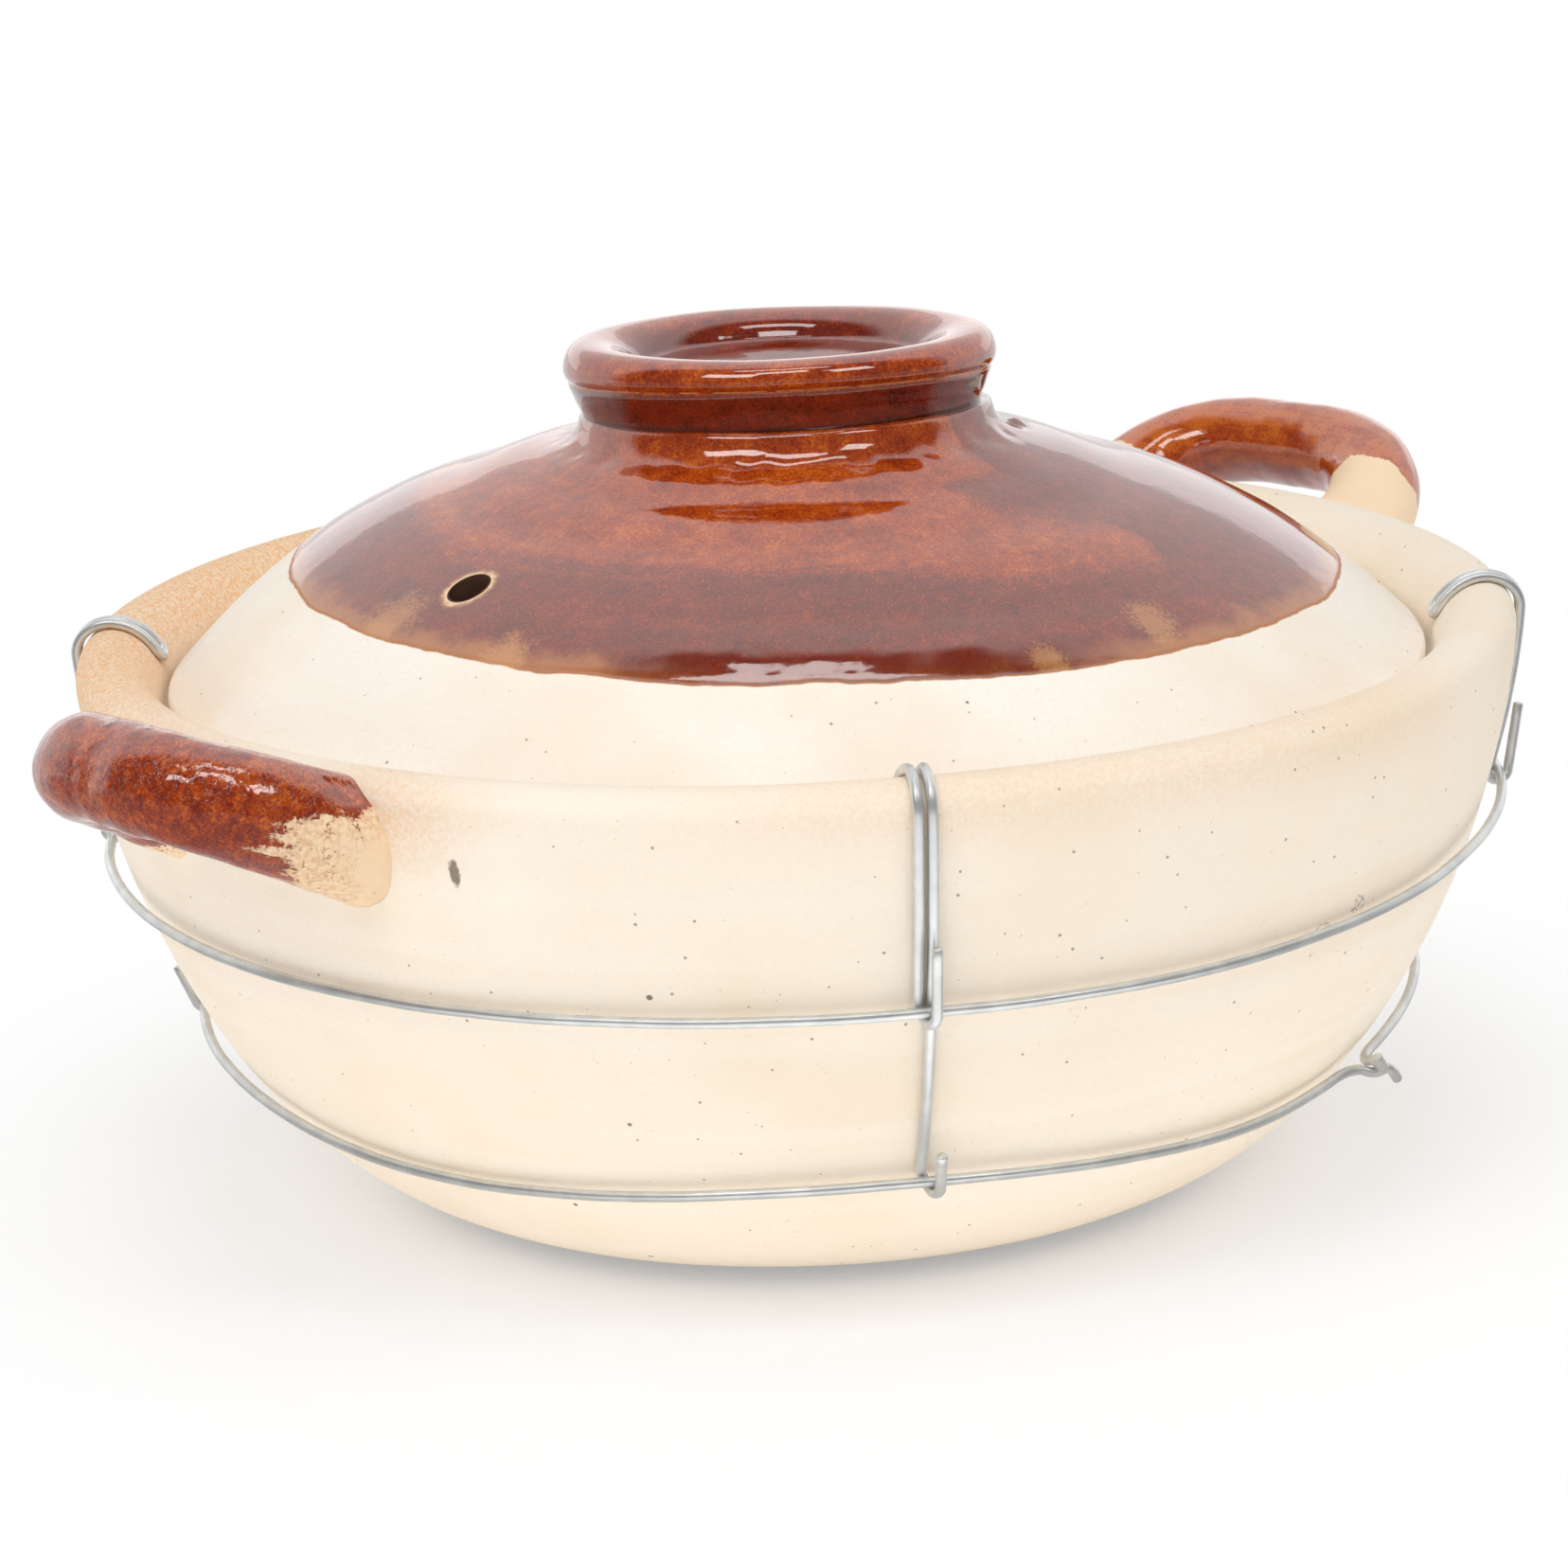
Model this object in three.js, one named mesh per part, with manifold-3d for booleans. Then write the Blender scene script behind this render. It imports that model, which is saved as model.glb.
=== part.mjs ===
// Lidded earthenware cooking pot in a wire cage.
// Millimetres, +Z up. The origin is the centre of the foot, on the stove or table.
// The two lug handles lie near the X axis.

import * as THREE from 'three';
import { mergeVertices } from 'three/addons/utils/BufferGeometryUtils.js';
import Module from 'manifold-3d';

const wasm = await Module();
wasm.setup();
const { Manifold, Mesh } = wasm;

// Pot, a thrown bowl with a rounded lip and a gallery that carries the lid.
const potHeight = 100;
const footRadius = 60;
const rimOuterRadius = 127.5;
const crestInset = 5.5;
const lipDrop = 4.5;
const wallFullness = 1.62;
const wallThickness = 7.5;
const floorThickness = 8;
const floorInset = 4;
const galleryInset = 9.6;
const galleryDepth = 12.4;
const ledgeWidth = 7.4;
const ledgeThickness = 5;
const ledgeBlendDrop = 18;

// Lid, a shallow dome with a raised boss for the knob and one steam vent.
const lidSideClearance = 1.2;
const lidSeatGap = 0.3;
const lidEdgeHeight = 3.7;
const lidEdgeRound = 1.4;
const lidRimWidth = 7.5;
const domeRise = 36.5;
const domeFullness = 3.1;
const lidThickness = 7;
const bossRadius = 36.2;
const bossFillet = 13;
const bossHeight = 8.55;
const bossDraft = 1;
const ventRadius = 3.5;
const ventDistance = 75.6;
const ventAngle = 178.25;

// Knob, a flared ring foot with a shallow dish, luted to the boss.
const lutingGap = 0.3;
const knobNeckRadius = 35;
const knobFlareRadius = 37.3;
const knobNeckHeight = 6.1;
const knobSeamDepth = 0.5;
const knobRingRadius = 38;
const knobRingHeight = 5.85;
const knobRingWidth = 9;
const knobRingLean = 0.6;
const knobDishDepth = 6.3;
const knobDishSlope = 6;

// Handles, thick clay rolls bent to a loop, luted to the wall below the lip.
const handleRootDrop = 13.5;
const handleRootDepth = 6;
const handleSquareness = 3;
const handleRootFlare = 1.1;
const leftOffAxis = 2.25;
const leftHalfSpan = 22.8;
const leftReach = 27.2;
const leftRise = 13.8;
const leftThickness = 17.4;
const rightOffAxis = 1.5;
const rightHalfSpan = 30.2;
const rightReach = 28.7;
const rightRise = 16.2;
const rightThickness = 16.8;

// Wire cage: two hoops, hung from the rim by four hairpin ties.
const wireDiameter = 1.8;
const wireGap = 0.15;
const legSpacing = 2.3;
const loopSpacing = 4;
const loopDrop = 6;
const prongShift = 2.5;
const upperProng = 12.5;
const lowerProng = 8;
const prongLean = 8;
const hoopStand = 1;
const upperHoopSag = 1.6;
const lowerHoopSag = 5.8;
const pigtailLength = 4.5;
const pigtailTail = 2.4;
const pigtailSpacing = 2.3;
const upperPigtailAngle = 70;
const lowerPigtailAngle = 286;
const pigtailStand = 1.6;
const pigtailBend = 2.2;
const frontTieAngle = 232.2;
const frontUpperDrop = 37;
const frontLowerDrop = 70;
const rightTieAngle = 311.8;
const rightUpperDrop = 33.7;
const rightTieSwing = 3.5;
const backTieAngle = 43;
const leftTieAngle = 131.8;
const upperDrop = 36;
const lowerDrop = 67;

// Facets.
const bodyFacets = 60;
const knobFacets = 44;
const handleFacets = 14;
const wireFacets = 6;
const ventFacets = 16;

const handles = [
  {
    name: 'handle_left',
    angle: 180 - leftOffAxis,
    halfSpan: leftHalfSpan,
    reach: leftReach,
    rise: leftRise,
    thickness: leftThickness,
  },
  {
    name: 'handle_right',
    angle: rightOffAxis,
    halfSpan: rightHalfSpan,
    reach: rightReach,
    rise: rightRise,
    thickness: rightThickness,
  },
];

// The swing is how far a tie's long leg turns round the pot on its way down.
const ties = [
  { name: 'rim_tie_front', angle: frontTieAngle, swing: 0, upperDrop: frontUpperDrop, lowerDrop: frontLowerDrop },
  { name: 'rim_tie_right', angle: rightTieAngle, swing: rightTieSwing, upperDrop: rightUpperDrop, lowerDrop },
  { name: 'rim_tie_back', angle: backTieAngle, swing: 0, upperDrop, lowerDrop },
  { name: 'rim_tie_left', angle: leftTieAngle, swing: 0, upperDrop, lowerDrop },
];

const radians = THREE.MathUtils.degToRad;
const wireRadius = wireDiameter / 2;
const rimCrestRadius = rimOuterRadius - crestInset;
const galleryRadius = rimCrestRadius - galleryInset;
const floorRadius = footRadius - floorInset;
const ledgeTop = potHeight - galleryDepth;
const ledgeInnerRadius = galleryRadius - ledgeWidth;

// Outer wall radius at a height: a quarter superellipse from the foot to the rim.
function wallRadius(z) {
  const fall = Math.min(Math.max(1 - z / potHeight, 0), 1);
  return footRadius + (rimOuterRadius - footRadius) * Math.sqrt(1 - Math.pow(fall, wallFullness));
}

// Inner wall radius, the same curve from the floor up.
function innerRadius(z) {
  const fall = Math.min(Math.max(1 - (z - floorThickness) / (potHeight - floorThickness), 0), 1);
  const rim = rimOuterRadius - wallThickness;
  return floorRadius + (rim - floorRadius) * Math.sqrt(1 - Math.pow(fall, wallFullness));
}

const lipOuterRadius = wallRadius(potHeight - lipDrop);

// The lip: u from -1 at the gallery, over the crest at 0, to 1 at the outer wall.
function lipPoint(u) {
  const a = Math.abs(u) * Math.PI / 2;
  if (u < 0) {
    const width = rimCrestRadius - galleryRadius;
    return [rimCrestRadius - width * Math.sin(a), ledgeTop + galleryDepth * Math.cos(a)];
  }
  const width = lipOuterRadius - rimCrestRadius;
  return [rimCrestRadius + width * Math.sin(a), potHeight - lipDrop + lipDrop * Math.cos(a)];
}

// Points at equal steps between two values.
function steps(from, to, count) {
  return Array.from({ length: count + 1 }, (unused, i) => from + (to - from) * i / count);
}

// Points of a quadratic curve from a to c, drawn towards b.
function bend(a, b, c, count) {
  return steps(0, 1, count).map((t) => [0, 1].map((k) => {
    return (1 - t) * (1 - t) * a[k] + 2 * t * (1 - t) * b[k] + t * t * c[k];
  }));
}

// Joins repeated points and turns the faces outward.
function closed(geometry) {
  geometry.deleteAttribute('normal');
  geometry.deleteAttribute('uv');
  const joined = mergeVertices(geometry, 1e-4);
  const p = joined.getAttribute('position');
  const index = Array.from(joined.getIndex().array);
  const kept = [];
  let volume = 0;
  const a = new THREE.Vector3();
  const b = new THREE.Vector3();
  const c = new THREE.Vector3();
  for (let i = 0; i < index.length; i += 3) {
    const face = index.slice(i, i + 3);
    if (face[0] === face[1] || face[1] === face[2] || face[2] === face[0]) continue;
    kept.push(...face);
    a.fromBufferAttribute(p, face[0]);
    b.fromBufferAttribute(p, face[1]);
    c.fromBufferAttribute(p, face[2]);
    volume += a.dot(b.cross(c));
  }
  if (volume < 0) {
    for (let i = 0; i < kept.length; i += 3) {
      [kept[i + 1], kept[i + 2]] = [kept[i + 2], kept[i + 1]];
    }
  }
  joined.setIndex(kept);
  return joined;
}

// A profile of [radius, height] points, turned round the Z axis.
function revolve(profile, facets) {
  const points = profile.map(([r, z]) => new THREE.Vector2(r, z));
  const geometry = new THREE.LatheGeometry(points, facets);
  geometry.applyMatrix4(new THREE.Matrix4().set(1, 0, 0, 0, 0, 0, -1, 0, 0, 1, 0, 0, 0, 0, 0, 1));
  return closed(geometry);
}

// A round bar along a list of points. Each ring has its own radius and side direction.
function bar(points, radiusAt, sideAt, facets) {
  const position = [];
  const index = [];
  const last = points.length - 1;
  for (let i = 0; i <= last; i += 1) {
    const side = sideAt(i);
    const along = points[Math.min(i + 1, last)].clone().sub(points[Math.max(i - 1, 0)]).normalize();
    side.addScaledVector(along, -side.dot(along)).normalize();
    const up = new THREE.Vector3().crossVectors(side, along);
    for (let k = 0; k < facets; k += 1) {
      const turn = 2 * Math.PI * k / facets;
      const v = points[i].clone();
      v.addScaledVector(side, radiusAt(i) * Math.cos(turn));
      v.addScaledVector(up, radiusAt(i) * Math.sin(turn));
      position.push(v.x, v.y, v.z);
      const next = (k + 1) % facets;
      if (i < last) {
        const j = i * facets;
        index.push(j + k, j + next, j + facets + k);
        index.push(j + next, j + facets + next, j + facets + k);
      }
    }
  }
  for (let k = 1; k < facets - 1; k += 1) {
    index.push(0, k + 1, k);
    index.push(last * facets, last * facets + k, last * facets + k + 1);
  }
  const geometry = new THREE.BufferGeometry();
  geometry.setAttribute('position', new THREE.Float32BufferAttribute(position, 3));
  geometry.setIndex(index);
  return closed(geometry);
}

// A wire of one diameter. The ring is carried along without turning.
function wire(points) {
  const sides = [];
  let side = new THREE.Vector3(0, 0, 1);
  const last = points.length - 1;
  for (let i = 0; i <= last; i += 1) {
    const along = points[Math.min(i + 1, last)].clone().sub(points[Math.max(i - 1, 0)]).normalize();
    if (i === 0 && Math.abs(side.dot(along)) > 0.9) side = new THREE.Vector3(1, 0, 0);
    side = side.clone().addScaledVector(along, -side.dot(along)).normalize();
    sides.push(side);
  }
  return bar(points, () => wireRadius, (i) => sides[i].clone(), wireFacets);
}

function toManifold(geometry) {
  return new Manifold(new Mesh({
    numProp: 3,
    vertProperties: new Float32Array(geometry.getAttribute('position').array),
    triVerts: new Uint32Array(geometry.getIndex().array),
  }));
}

function fromManifold(solid) {
  const mesh = solid.getMesh();
  const geometry = new THREE.BufferGeometry();
  geometry.setAttribute('position', new THREE.BufferAttribute(new Float32Array(mesh.vertProperties), 3));
  geometry.setIndex(Array.from(mesh.triVerts));
  return geometry;
}

// A point given by radius, height and a shift along the rim, at a place round the pot.
function around(angle, r, shift, z) {
  const a = radians(angle);
  const x = r * Math.cos(a) - shift * Math.sin(a);
  const y = r * Math.sin(a) + shift * Math.cos(a);
  return new THREE.Vector3(x, y, z);
}

const clay = new THREE.MeshStandardMaterial({ color: 0xf0e4d0, roughness: 0.85 });
const glaze = new THREE.MeshStandardMaterial({ color: 0x6a2a10, roughness: 0.15 });
const steel = new THREE.MeshStandardMaterial({ color: 0xb8bab8, roughness: 0.35, metalness: 1 });

const group = new THREE.Group();
group.name = 'lidded_clay_pot';

function add(name, geometry, material) {
  geometry.computeVertexNormals();
  const mesh = new THREE.Mesh(geometry, material);
  mesh.name = name;
  group.add(mesh);
}

// Pot body.
const ledgeBottom = ledgeTop - ledgeThickness;
const blendBottom = ledgeBottom - ledgeBlendDrop;
const blendTop = [ledgeInnerRadius, ledgeBottom];
const blendEnd = [innerRadius(blendBottom), blendBottom];
const outerHeights = steps(0, 1, 11).map((t) => (potHeight - lipDrop) * Math.pow(t, 1.7));
const innerHeights = steps(1, 0, 9).map((t) => floorThickness + (blendBottom - floorThickness) * Math.pow(t, 1.8));
const potProfile = [
  [0, 0],
  ...outerHeights.map((z) => [wallRadius(z), z]),
  ...steps(1, 0, 4).slice(1).map(lipPoint),
  ...steps(0, -1, 5).slice(1).map(lipPoint),
  [ledgeInnerRadius, ledgeTop],
  ...bend(blendTop, [ledgeInnerRadius, (ledgeBottom + blendBottom) / 2], blendEnd, 3),
  ...innerHeights.slice(1).map((z) => [innerRadius(z), z]),
  [0, floorThickness],
];
add('pot_body', revolve(potProfile, bodyFacets), clay);

// Lid.
const lidEdgeRadius = galleryRadius - lidSideClearance;
const lidBottom = ledgeTop + lidSeatGap;
const domeFoot = lidBottom + lidEdgeHeight;
const domeTop = domeFoot + domeRise;
const bossTop = domeTop + bossHeight;
const hollowRadius = lidEdgeRadius - lidRimWidth;
const hollowRise = domeTop - lidThickness - lidBottom;

function domeHeight(r) {
  return domeFoot + domeRise * (1 - Math.pow(r / lidEdgeRadius, domeFullness));
}

function hollowHeight(r) {
  return lidBottom + hollowRise * (1 - Math.pow(r / hollowRadius, domeFullness));
}

const filletFoot = bossRadius + bossFillet;
const filletSlope = domeRise * domeFullness * Math.pow(filletFoot / lidEdgeRadius, domeFullness - 1) / lidEdgeRadius;
const filletCorner = [bossRadius + bossDraft, domeHeight(filletFoot) + filletSlope * (bossFillet - bossDraft)];
const domeRadii = steps(0, 1, 8).map((t) => lidEdgeRadius + (filletFoot - lidEdgeRadius) * Math.pow(t, 1.3));
const hollowRadii = steps(0, 1, 8).map((t) => hollowRadius * (1 - Math.pow(t, 1.5)));
const lidProfile = [
  ...hollowRadii.slice().reverse().map((r) => [r, hollowHeight(r)]),
  [lidEdgeRadius - lidEdgeRound, lidBottom],
  [lidEdgeRadius, lidBottom + lidEdgeRound],
  ...domeRadii.slice(0, -1).map((r) => [r, domeHeight(r)]),
  ...bend([filletFoot, domeHeight(filletFoot)], filletCorner, [bossRadius, bossTop], 5),
  [0, bossTop],
];
const ventPlace = around(ventAngle, ventDistance, 0, lidBottom);
const ventHeight = domeRise + lidEdgeHeight + bossHeight;
const ventShape = revolve([[0, 0], [ventRadius, 0], [ventRadius, ventHeight], [0, ventHeight]], ventFacets);
const ventCutter = toManifold(ventShape.translate(ventPlace.x, ventPlace.y, ventPlace.z));
const lid = toManifold(revolve(lidProfile, bodyFacets)).subtract(ventCutter);
add('lid_dome', fromManifold(lid), glaze);

// Knob.
const knobBottom = bossTop + lutingGap;
const seam = knobBottom + knobNeckHeight;
const knobTop = seam + knobRingHeight;
const ringCrest = knobRingRadius - knobRingWidth / 2;
const dishEdge = knobRingRadius - knobRingWidth;
const dishFloor = knobTop - knobDishDepth;
const knobProfile = [
  [0, knobBottom],
  [knobNeckRadius, knobBottom],
  [(knobNeckRadius + knobFlareRadius) / 2, (knobBottom + seam) / 2],
  [knobFlareRadius, seam - knobSeamDepth],
  [knobFlareRadius - knobSeamDepth, seam],
  [knobRingRadius, seam + knobSeamDepth],
  ...bend([knobRingRadius, seam + knobSeamDepth], [knobRingRadius - knobRingLean, knobTop], [ringCrest, knobTop], 4).slice(1),
  ...bend([ringCrest, knobTop], [dishEdge, knobTop], [dishEdge - knobDishSlope, dishFloor], 4).slice(1),
  [0, dishFloor],
];
add('lid_knob', revolve(knobProfile, knobFacets), glaze);

// Handles. The roll enters the wall and is trimmed to it, short by the luting gap.
const wallCutter = toManifold(revolve([
  [0, 0],
  ...outerHeights.map((z) => [wallRadius(z) + lutingGap, z]),
  ...steps(1, 0, 4).slice(1).map(lipPoint).map(([r, z]) => [r + lutingGap, z + lutingGap]),
  [0, potHeight + lutingGap],
], bodyFacets));

for (const handle of handles) {
  const rootHeight = potHeight - handleRootDrop;
  const rootRadius = wallRadius(rootHeight) - handleRootDepth;
  const power = 2 / handleSquareness;
  const turns = steps(0, Math.PI, 22);
  const bow = turns.map((a) => Math.pow(Math.max(Math.sin(a), 0), power));
  const points = turns.map((a, i) => {
    const spread = handle.halfSpan * Math.sign(Math.cos(a)) * Math.pow(Math.abs(Math.cos(a)), power);
    return around(handle.angle, rootRadius + handle.reach * bow[i], -spread, rootHeight + handle.rise * bow[i]);
  });
  const radiusAt = (i) => handle.thickness / 2 + handleRootFlare * (1 - bow[i]);
  const roll = toManifold(bar(points, radiusAt, () => new THREE.Vector3(0, 0, 1), handleFacets));
  add(handle.name, fromManifold(roll.subtract(wallCutter)), glaze);
}

// Place of a wire that lies on the outer wall at a height, with the wall's own directions there.
function onWall(z) {
  const d = 0.01;
  const slope = (wallRadius(z + d) - wallRadius(z - d)) / (2 * d);
  const length = Math.hypot(slope, 1);
  const out = [1 / length, -slope / length];
  const off = wireRadius + wireGap;
  return {
    point: [wallRadius(z) + off * out[0], z + off * out[1]],
    out,
    down: [-slope / length, -1 / length],
  };
}

// Place of a wire that lies on the lip.
function onLip(u) {
  const d = 0.001;
  const [r0, z0] = lipPoint(u - d);
  const [r1, z1] = lipPoint(u + d);
  const length = Math.hypot(r1 - r0, z1 - z0);
  const off = wireRadius + wireGap;
  const [r, z] = lipPoint(u);
  return [r - off * (z1 - z0) / length, z + off * (r1 - r0) / length];
}

// A place further out than a wire that lies on the wall.
function offWall(drop, off) {
  const place = onWall(potHeight - drop);
  return [place.point[0] + off * place.out[0], place.point[1] + off * place.out[1]];
}

// A tie holds a hoop one wire further out than its own leg.
const hoopOff = wireDiameter + wireGap;

// The hook of a tie: under the hoop and up in front of it, moving sideways by the prong shift.
// The prong leans back to the wall.
function hook(drop, prong, shift) {
  const place = onWall(potHeight - drop);
  const [cr, cz] = offWall(drop, hoopOff);
  const points = steps(0, Math.PI, 5).map((a) => {
    const o = -Math.cos(a) * hoopOff;
    const s = Math.sin(a) * hoopOff;
    const moved = shift + prongShift * a / Math.PI;
    return [cr + o * place.out[0] + s * place.down[0], moved, cz + o * place.out[1] + s * place.down[1]];
  });
  const [r, s, z] = points[points.length - 1];
  const up = prong * Math.cos(radians(prongLean));
  const back = prong * Math.sin(radians(prongLean));
  points.push([
    r - up * place.down[0] - back * place.out[0],
    s,
    z - up * place.down[1] - back * place.out[1],
  ]);
  return points;
}

// The loop's closed end hangs inside the rim, on the lip's inner slope.
const loopTip = -Math.acos(1 - loopDrop / galleryDepth) / (Math.PI / 2);
const [tipR, tipZ] = onLip(loopTip);
const [backR, backZ] = onLip(loopTip + 0.1);
const lipPerMm = 0.1 / Math.hypot(backR - tipR, backZ - tipZ);
const loopEnd = loopTip + lipPerMm * loopSpacing / 2;

for (const tie of ties) {
  const shortSide = -legSpacing / 2;
  const longSide = legSpacing / 2;
  const upperStart = potHeight - lipDrop;
  const shortHeights = steps(upperStart, potHeight - tie.upperDrop, 3);
  const longHeights = steps(upperStart, potHeight - tie.lowerDrop, 7);
  const overLip = steps(1, loopEnd, 8);
  const spread = (u) => Math.max(-u / -loopEnd, 0) * (loopSpacing - legSpacing) / 2;
  const legOnWall = (z, s) => {
    const [r, h] = onWall(z).point;
    return [r, s, h];
  };
  const place = (turn) => ([r, s, z]) => around(tie.angle + turn, r, s, z);
  const longLeg = longHeights.slice(1, -1).map((z) => {
    const way = (upperStart - z) / (upperStart - potHeight + tie.lowerDrop);
    return place(tie.swing * way)(legOnWall(z, longSide));
  });
  const legOnLip = (u, s) => {
    const [r, h] = onLip(u);
    return [r, s + Math.sign(s) * spread(u), h];
  };
  const loop = steps(-Math.PI / 2, Math.PI / 2, 6).slice(1, -1).map((a) => {
    const [r, h] = onLip(loopEnd - lipPerMm * Math.cos(a) * loopSpacing / 2);
    return [r, Math.sin(a) * loopSpacing / 2, h];
  });
  const straight = [
    ...hook(tie.upperDrop, upperProng, shortSide).reverse(),
    ...shortHeights.slice(1, -1).reverse().map((z) => legOnWall(z, shortSide)),
    ...overLip.map((u) => legOnLip(u, shortSide)),
    ...loop,
    ...overLip.slice().reverse().map((u) => legOnLip(u, longSide)),
  ];
  const lowerHook = hook(tie.lowerDrop, lowerProng, longSide);
  const route = [...straight.map(place(0)), ...longLeg, ...lowerHook.map(place(tie.swing))];
  add(tie.name, wire(route), steel);
}

// A hoop passes through every tie's hook. Between them it sags and lies closer to the wall.
// A stop is the angle and the drop at which a tie holds the hoop.
const byAngle = (a, b) => a.angle - b.angle;
const upperStops = ties.map((tie) => ({ angle: tie.angle, drop: tie.upperDrop })).sort(byAngle);
const lowerStops = ties.map((tie) => ({ angle: tie.angle + tie.swing, drop: tie.lowerDrop })).sort(byAngle);

function hoopPoint(angle, stops, sag) {
  const first = stops[0].angle;
  const turned = ((angle - first) % 360 + 360) % 360 + first;
  const before = stops.filter((stop) => stop.angle <= turned + 1e-9).pop();
  const place = stops.indexOf(before);
  const after = stops[(place + 1) % stops.length];
  const span = place + 1 < stops.length ? after.angle - before.angle : after.angle + 360 - before.angle;
  const t = (turned - before.angle) / span;
  const blend = t * t * (3 - 2 * t);
  const wave = Math.pow(Math.sin(Math.PI * t), 2);
  const drop = before.drop + (after.drop - before.drop) * blend + sag * wave;
  return offWall(drop, hoopOff + (hoopStand - hoopOff) * wave);
}

// The hoop's two ends meet, cross by half a turn and stand out as a short pigtail.
function hoop(stops, sag, pigtailAngle) {
  const half = pigtailSpacing / 2;
  const [rootR, rootZ] = hoopPoint(pigtailAngle, stops, sag);
  const gapAngle = THREE.MathUtils.radToDeg((half + pigtailBend) / rootR);
  const start = pigtailAngle + gapAngle;
  const end = pigtailAngle + 360 - gapAngle;
  const held = stops.map((stop) => (stop.angle - start % 360 + 720) % 360 + start).sort((a, b) => a - b);
  const marks = [start, ...held, end];
  const angles = [start];
  for (let i = 1; i < marks.length; i += 1) {
    const parts = Math.max(2, Math.round((marks[i] - marks[i - 1]) / 6.5));
    angles.push(...steps(marks[i - 1], marks[i], parts).slice(1));
  }
  const ring = angles.map((angle) => {
    const [r, z] = hoopPoint(angle, stops, sag);
    return around(angle, r, 0, z);
  });
  const strand = (sign) => steps(0, 1, 4).map((t) => {
    const a = Math.PI * t;
    const out = rootR + pigtailStand + pigtailLength * t;
    return around(pigtailAngle, out, sign * half * Math.cos(a), rootZ + sign * half * Math.sin(a));
  });
  const tail = (sign) => [0.5, 1].map((t) => {
    const out = rootR + pigtailStand + pigtailLength + wireGap;
    const splay = t * pigtailTail * Math.SQRT2;
    return around(pigtailAngle, out, -sign * (half + splay), rootZ + sign * splay);
  });
  const first = [...strand(1), ...tail(1)].reverse();
  const second = [...strand(-1), ...tail(-1)];
  return wire([...first, ...ring, ...second]);
}

add('upper_hoop', hoop(upperStops, upperHoopSag, upperPigtailAngle), steel);
add('lower_hoop', hoop(lowerStops, lowerHoopSag, lowerPigtailAngle), steel);

export default group;
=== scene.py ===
"""Looks of the lidded clay pot: thrown clay, brushed brown glaze and a galvanised wire cage."""

from functools import reduce
from math import acos, atan2, copysign, cos, degrees, exp, hypot, pi, radians, sin, sqrt, tan

import bpy
from mathutils import Matrix, Vector, noise


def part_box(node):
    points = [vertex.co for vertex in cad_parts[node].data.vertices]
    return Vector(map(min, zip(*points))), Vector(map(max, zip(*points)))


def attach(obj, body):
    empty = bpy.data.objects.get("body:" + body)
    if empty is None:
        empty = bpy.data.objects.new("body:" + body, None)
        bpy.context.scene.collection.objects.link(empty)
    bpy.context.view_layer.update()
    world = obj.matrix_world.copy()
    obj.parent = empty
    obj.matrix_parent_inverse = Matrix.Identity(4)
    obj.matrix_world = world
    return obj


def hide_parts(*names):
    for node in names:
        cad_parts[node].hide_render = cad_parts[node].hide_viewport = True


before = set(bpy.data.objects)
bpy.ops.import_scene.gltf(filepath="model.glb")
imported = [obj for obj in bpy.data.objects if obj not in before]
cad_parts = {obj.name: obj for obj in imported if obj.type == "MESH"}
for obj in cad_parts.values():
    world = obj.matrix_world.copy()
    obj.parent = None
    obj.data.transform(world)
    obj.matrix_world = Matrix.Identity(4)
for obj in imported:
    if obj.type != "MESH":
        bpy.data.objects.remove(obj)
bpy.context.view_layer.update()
scene = bpy.context.scene

# One millimetre in the frame's metres. Sizes are in millimetres and degrees, those of the studio in metres.
MM = 0.001

# Pot body.
POT_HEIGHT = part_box("pot_body")[1].z / MM
FOOT_RADIUS = 60
RIM_RADIUS = 127.5
CREST_RADIUS = 122
LIP_DROP = 4.5
WALL_FULLNESS = 1.62
WALL_THICKNESS = 7.5
FLOOR_THICKNESS = 8
FLOOR_RADIUS = 56
GALLERY_RADIUS = 112.4
GALLERY_DEPTH = 12.4
LEDGE_WIDTH = 7.4
LEDGE_THICKNESS = 5
LEDGE_BLEND_DROP = 18
LEDGE_TOP = POT_HEIGHT - GALLERY_DEPTH

# Lid.
LID_EDGE_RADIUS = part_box("lid_dome")[1].x / MM
LID_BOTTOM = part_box("lid_dome")[0].z / MM
LID_EDGE_HEIGHT = 3.7
LID_EDGE_ROUND = 1.4
LID_RIM_WIDTH = 7.5
DOME_RISE = 36.5
DOME_FULLNESS = 3.1
LID_THICKNESS = 7
BOSS_RADIUS = 36.2
BOSS_FILLET = 13
BOSS_DRAFT = 1
BOSS_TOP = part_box("lid_dome")[1].z / MM
DOME_FOOT = LID_BOTTOM + LID_EDGE_HEIGHT
DOME_TOP = DOME_FOOT + DOME_RISE
HOLLOW_RADIUS = LID_EDGE_RADIUS - LID_RIM_WIDTH
HOLLOW_RISE = DOME_TOP - LID_THICKNESS - LID_BOTTOM
VENT_RADIUS = 3.5
VENT_DISTANCE = 75.6
VENT_ANGLE = 178.25

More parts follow.
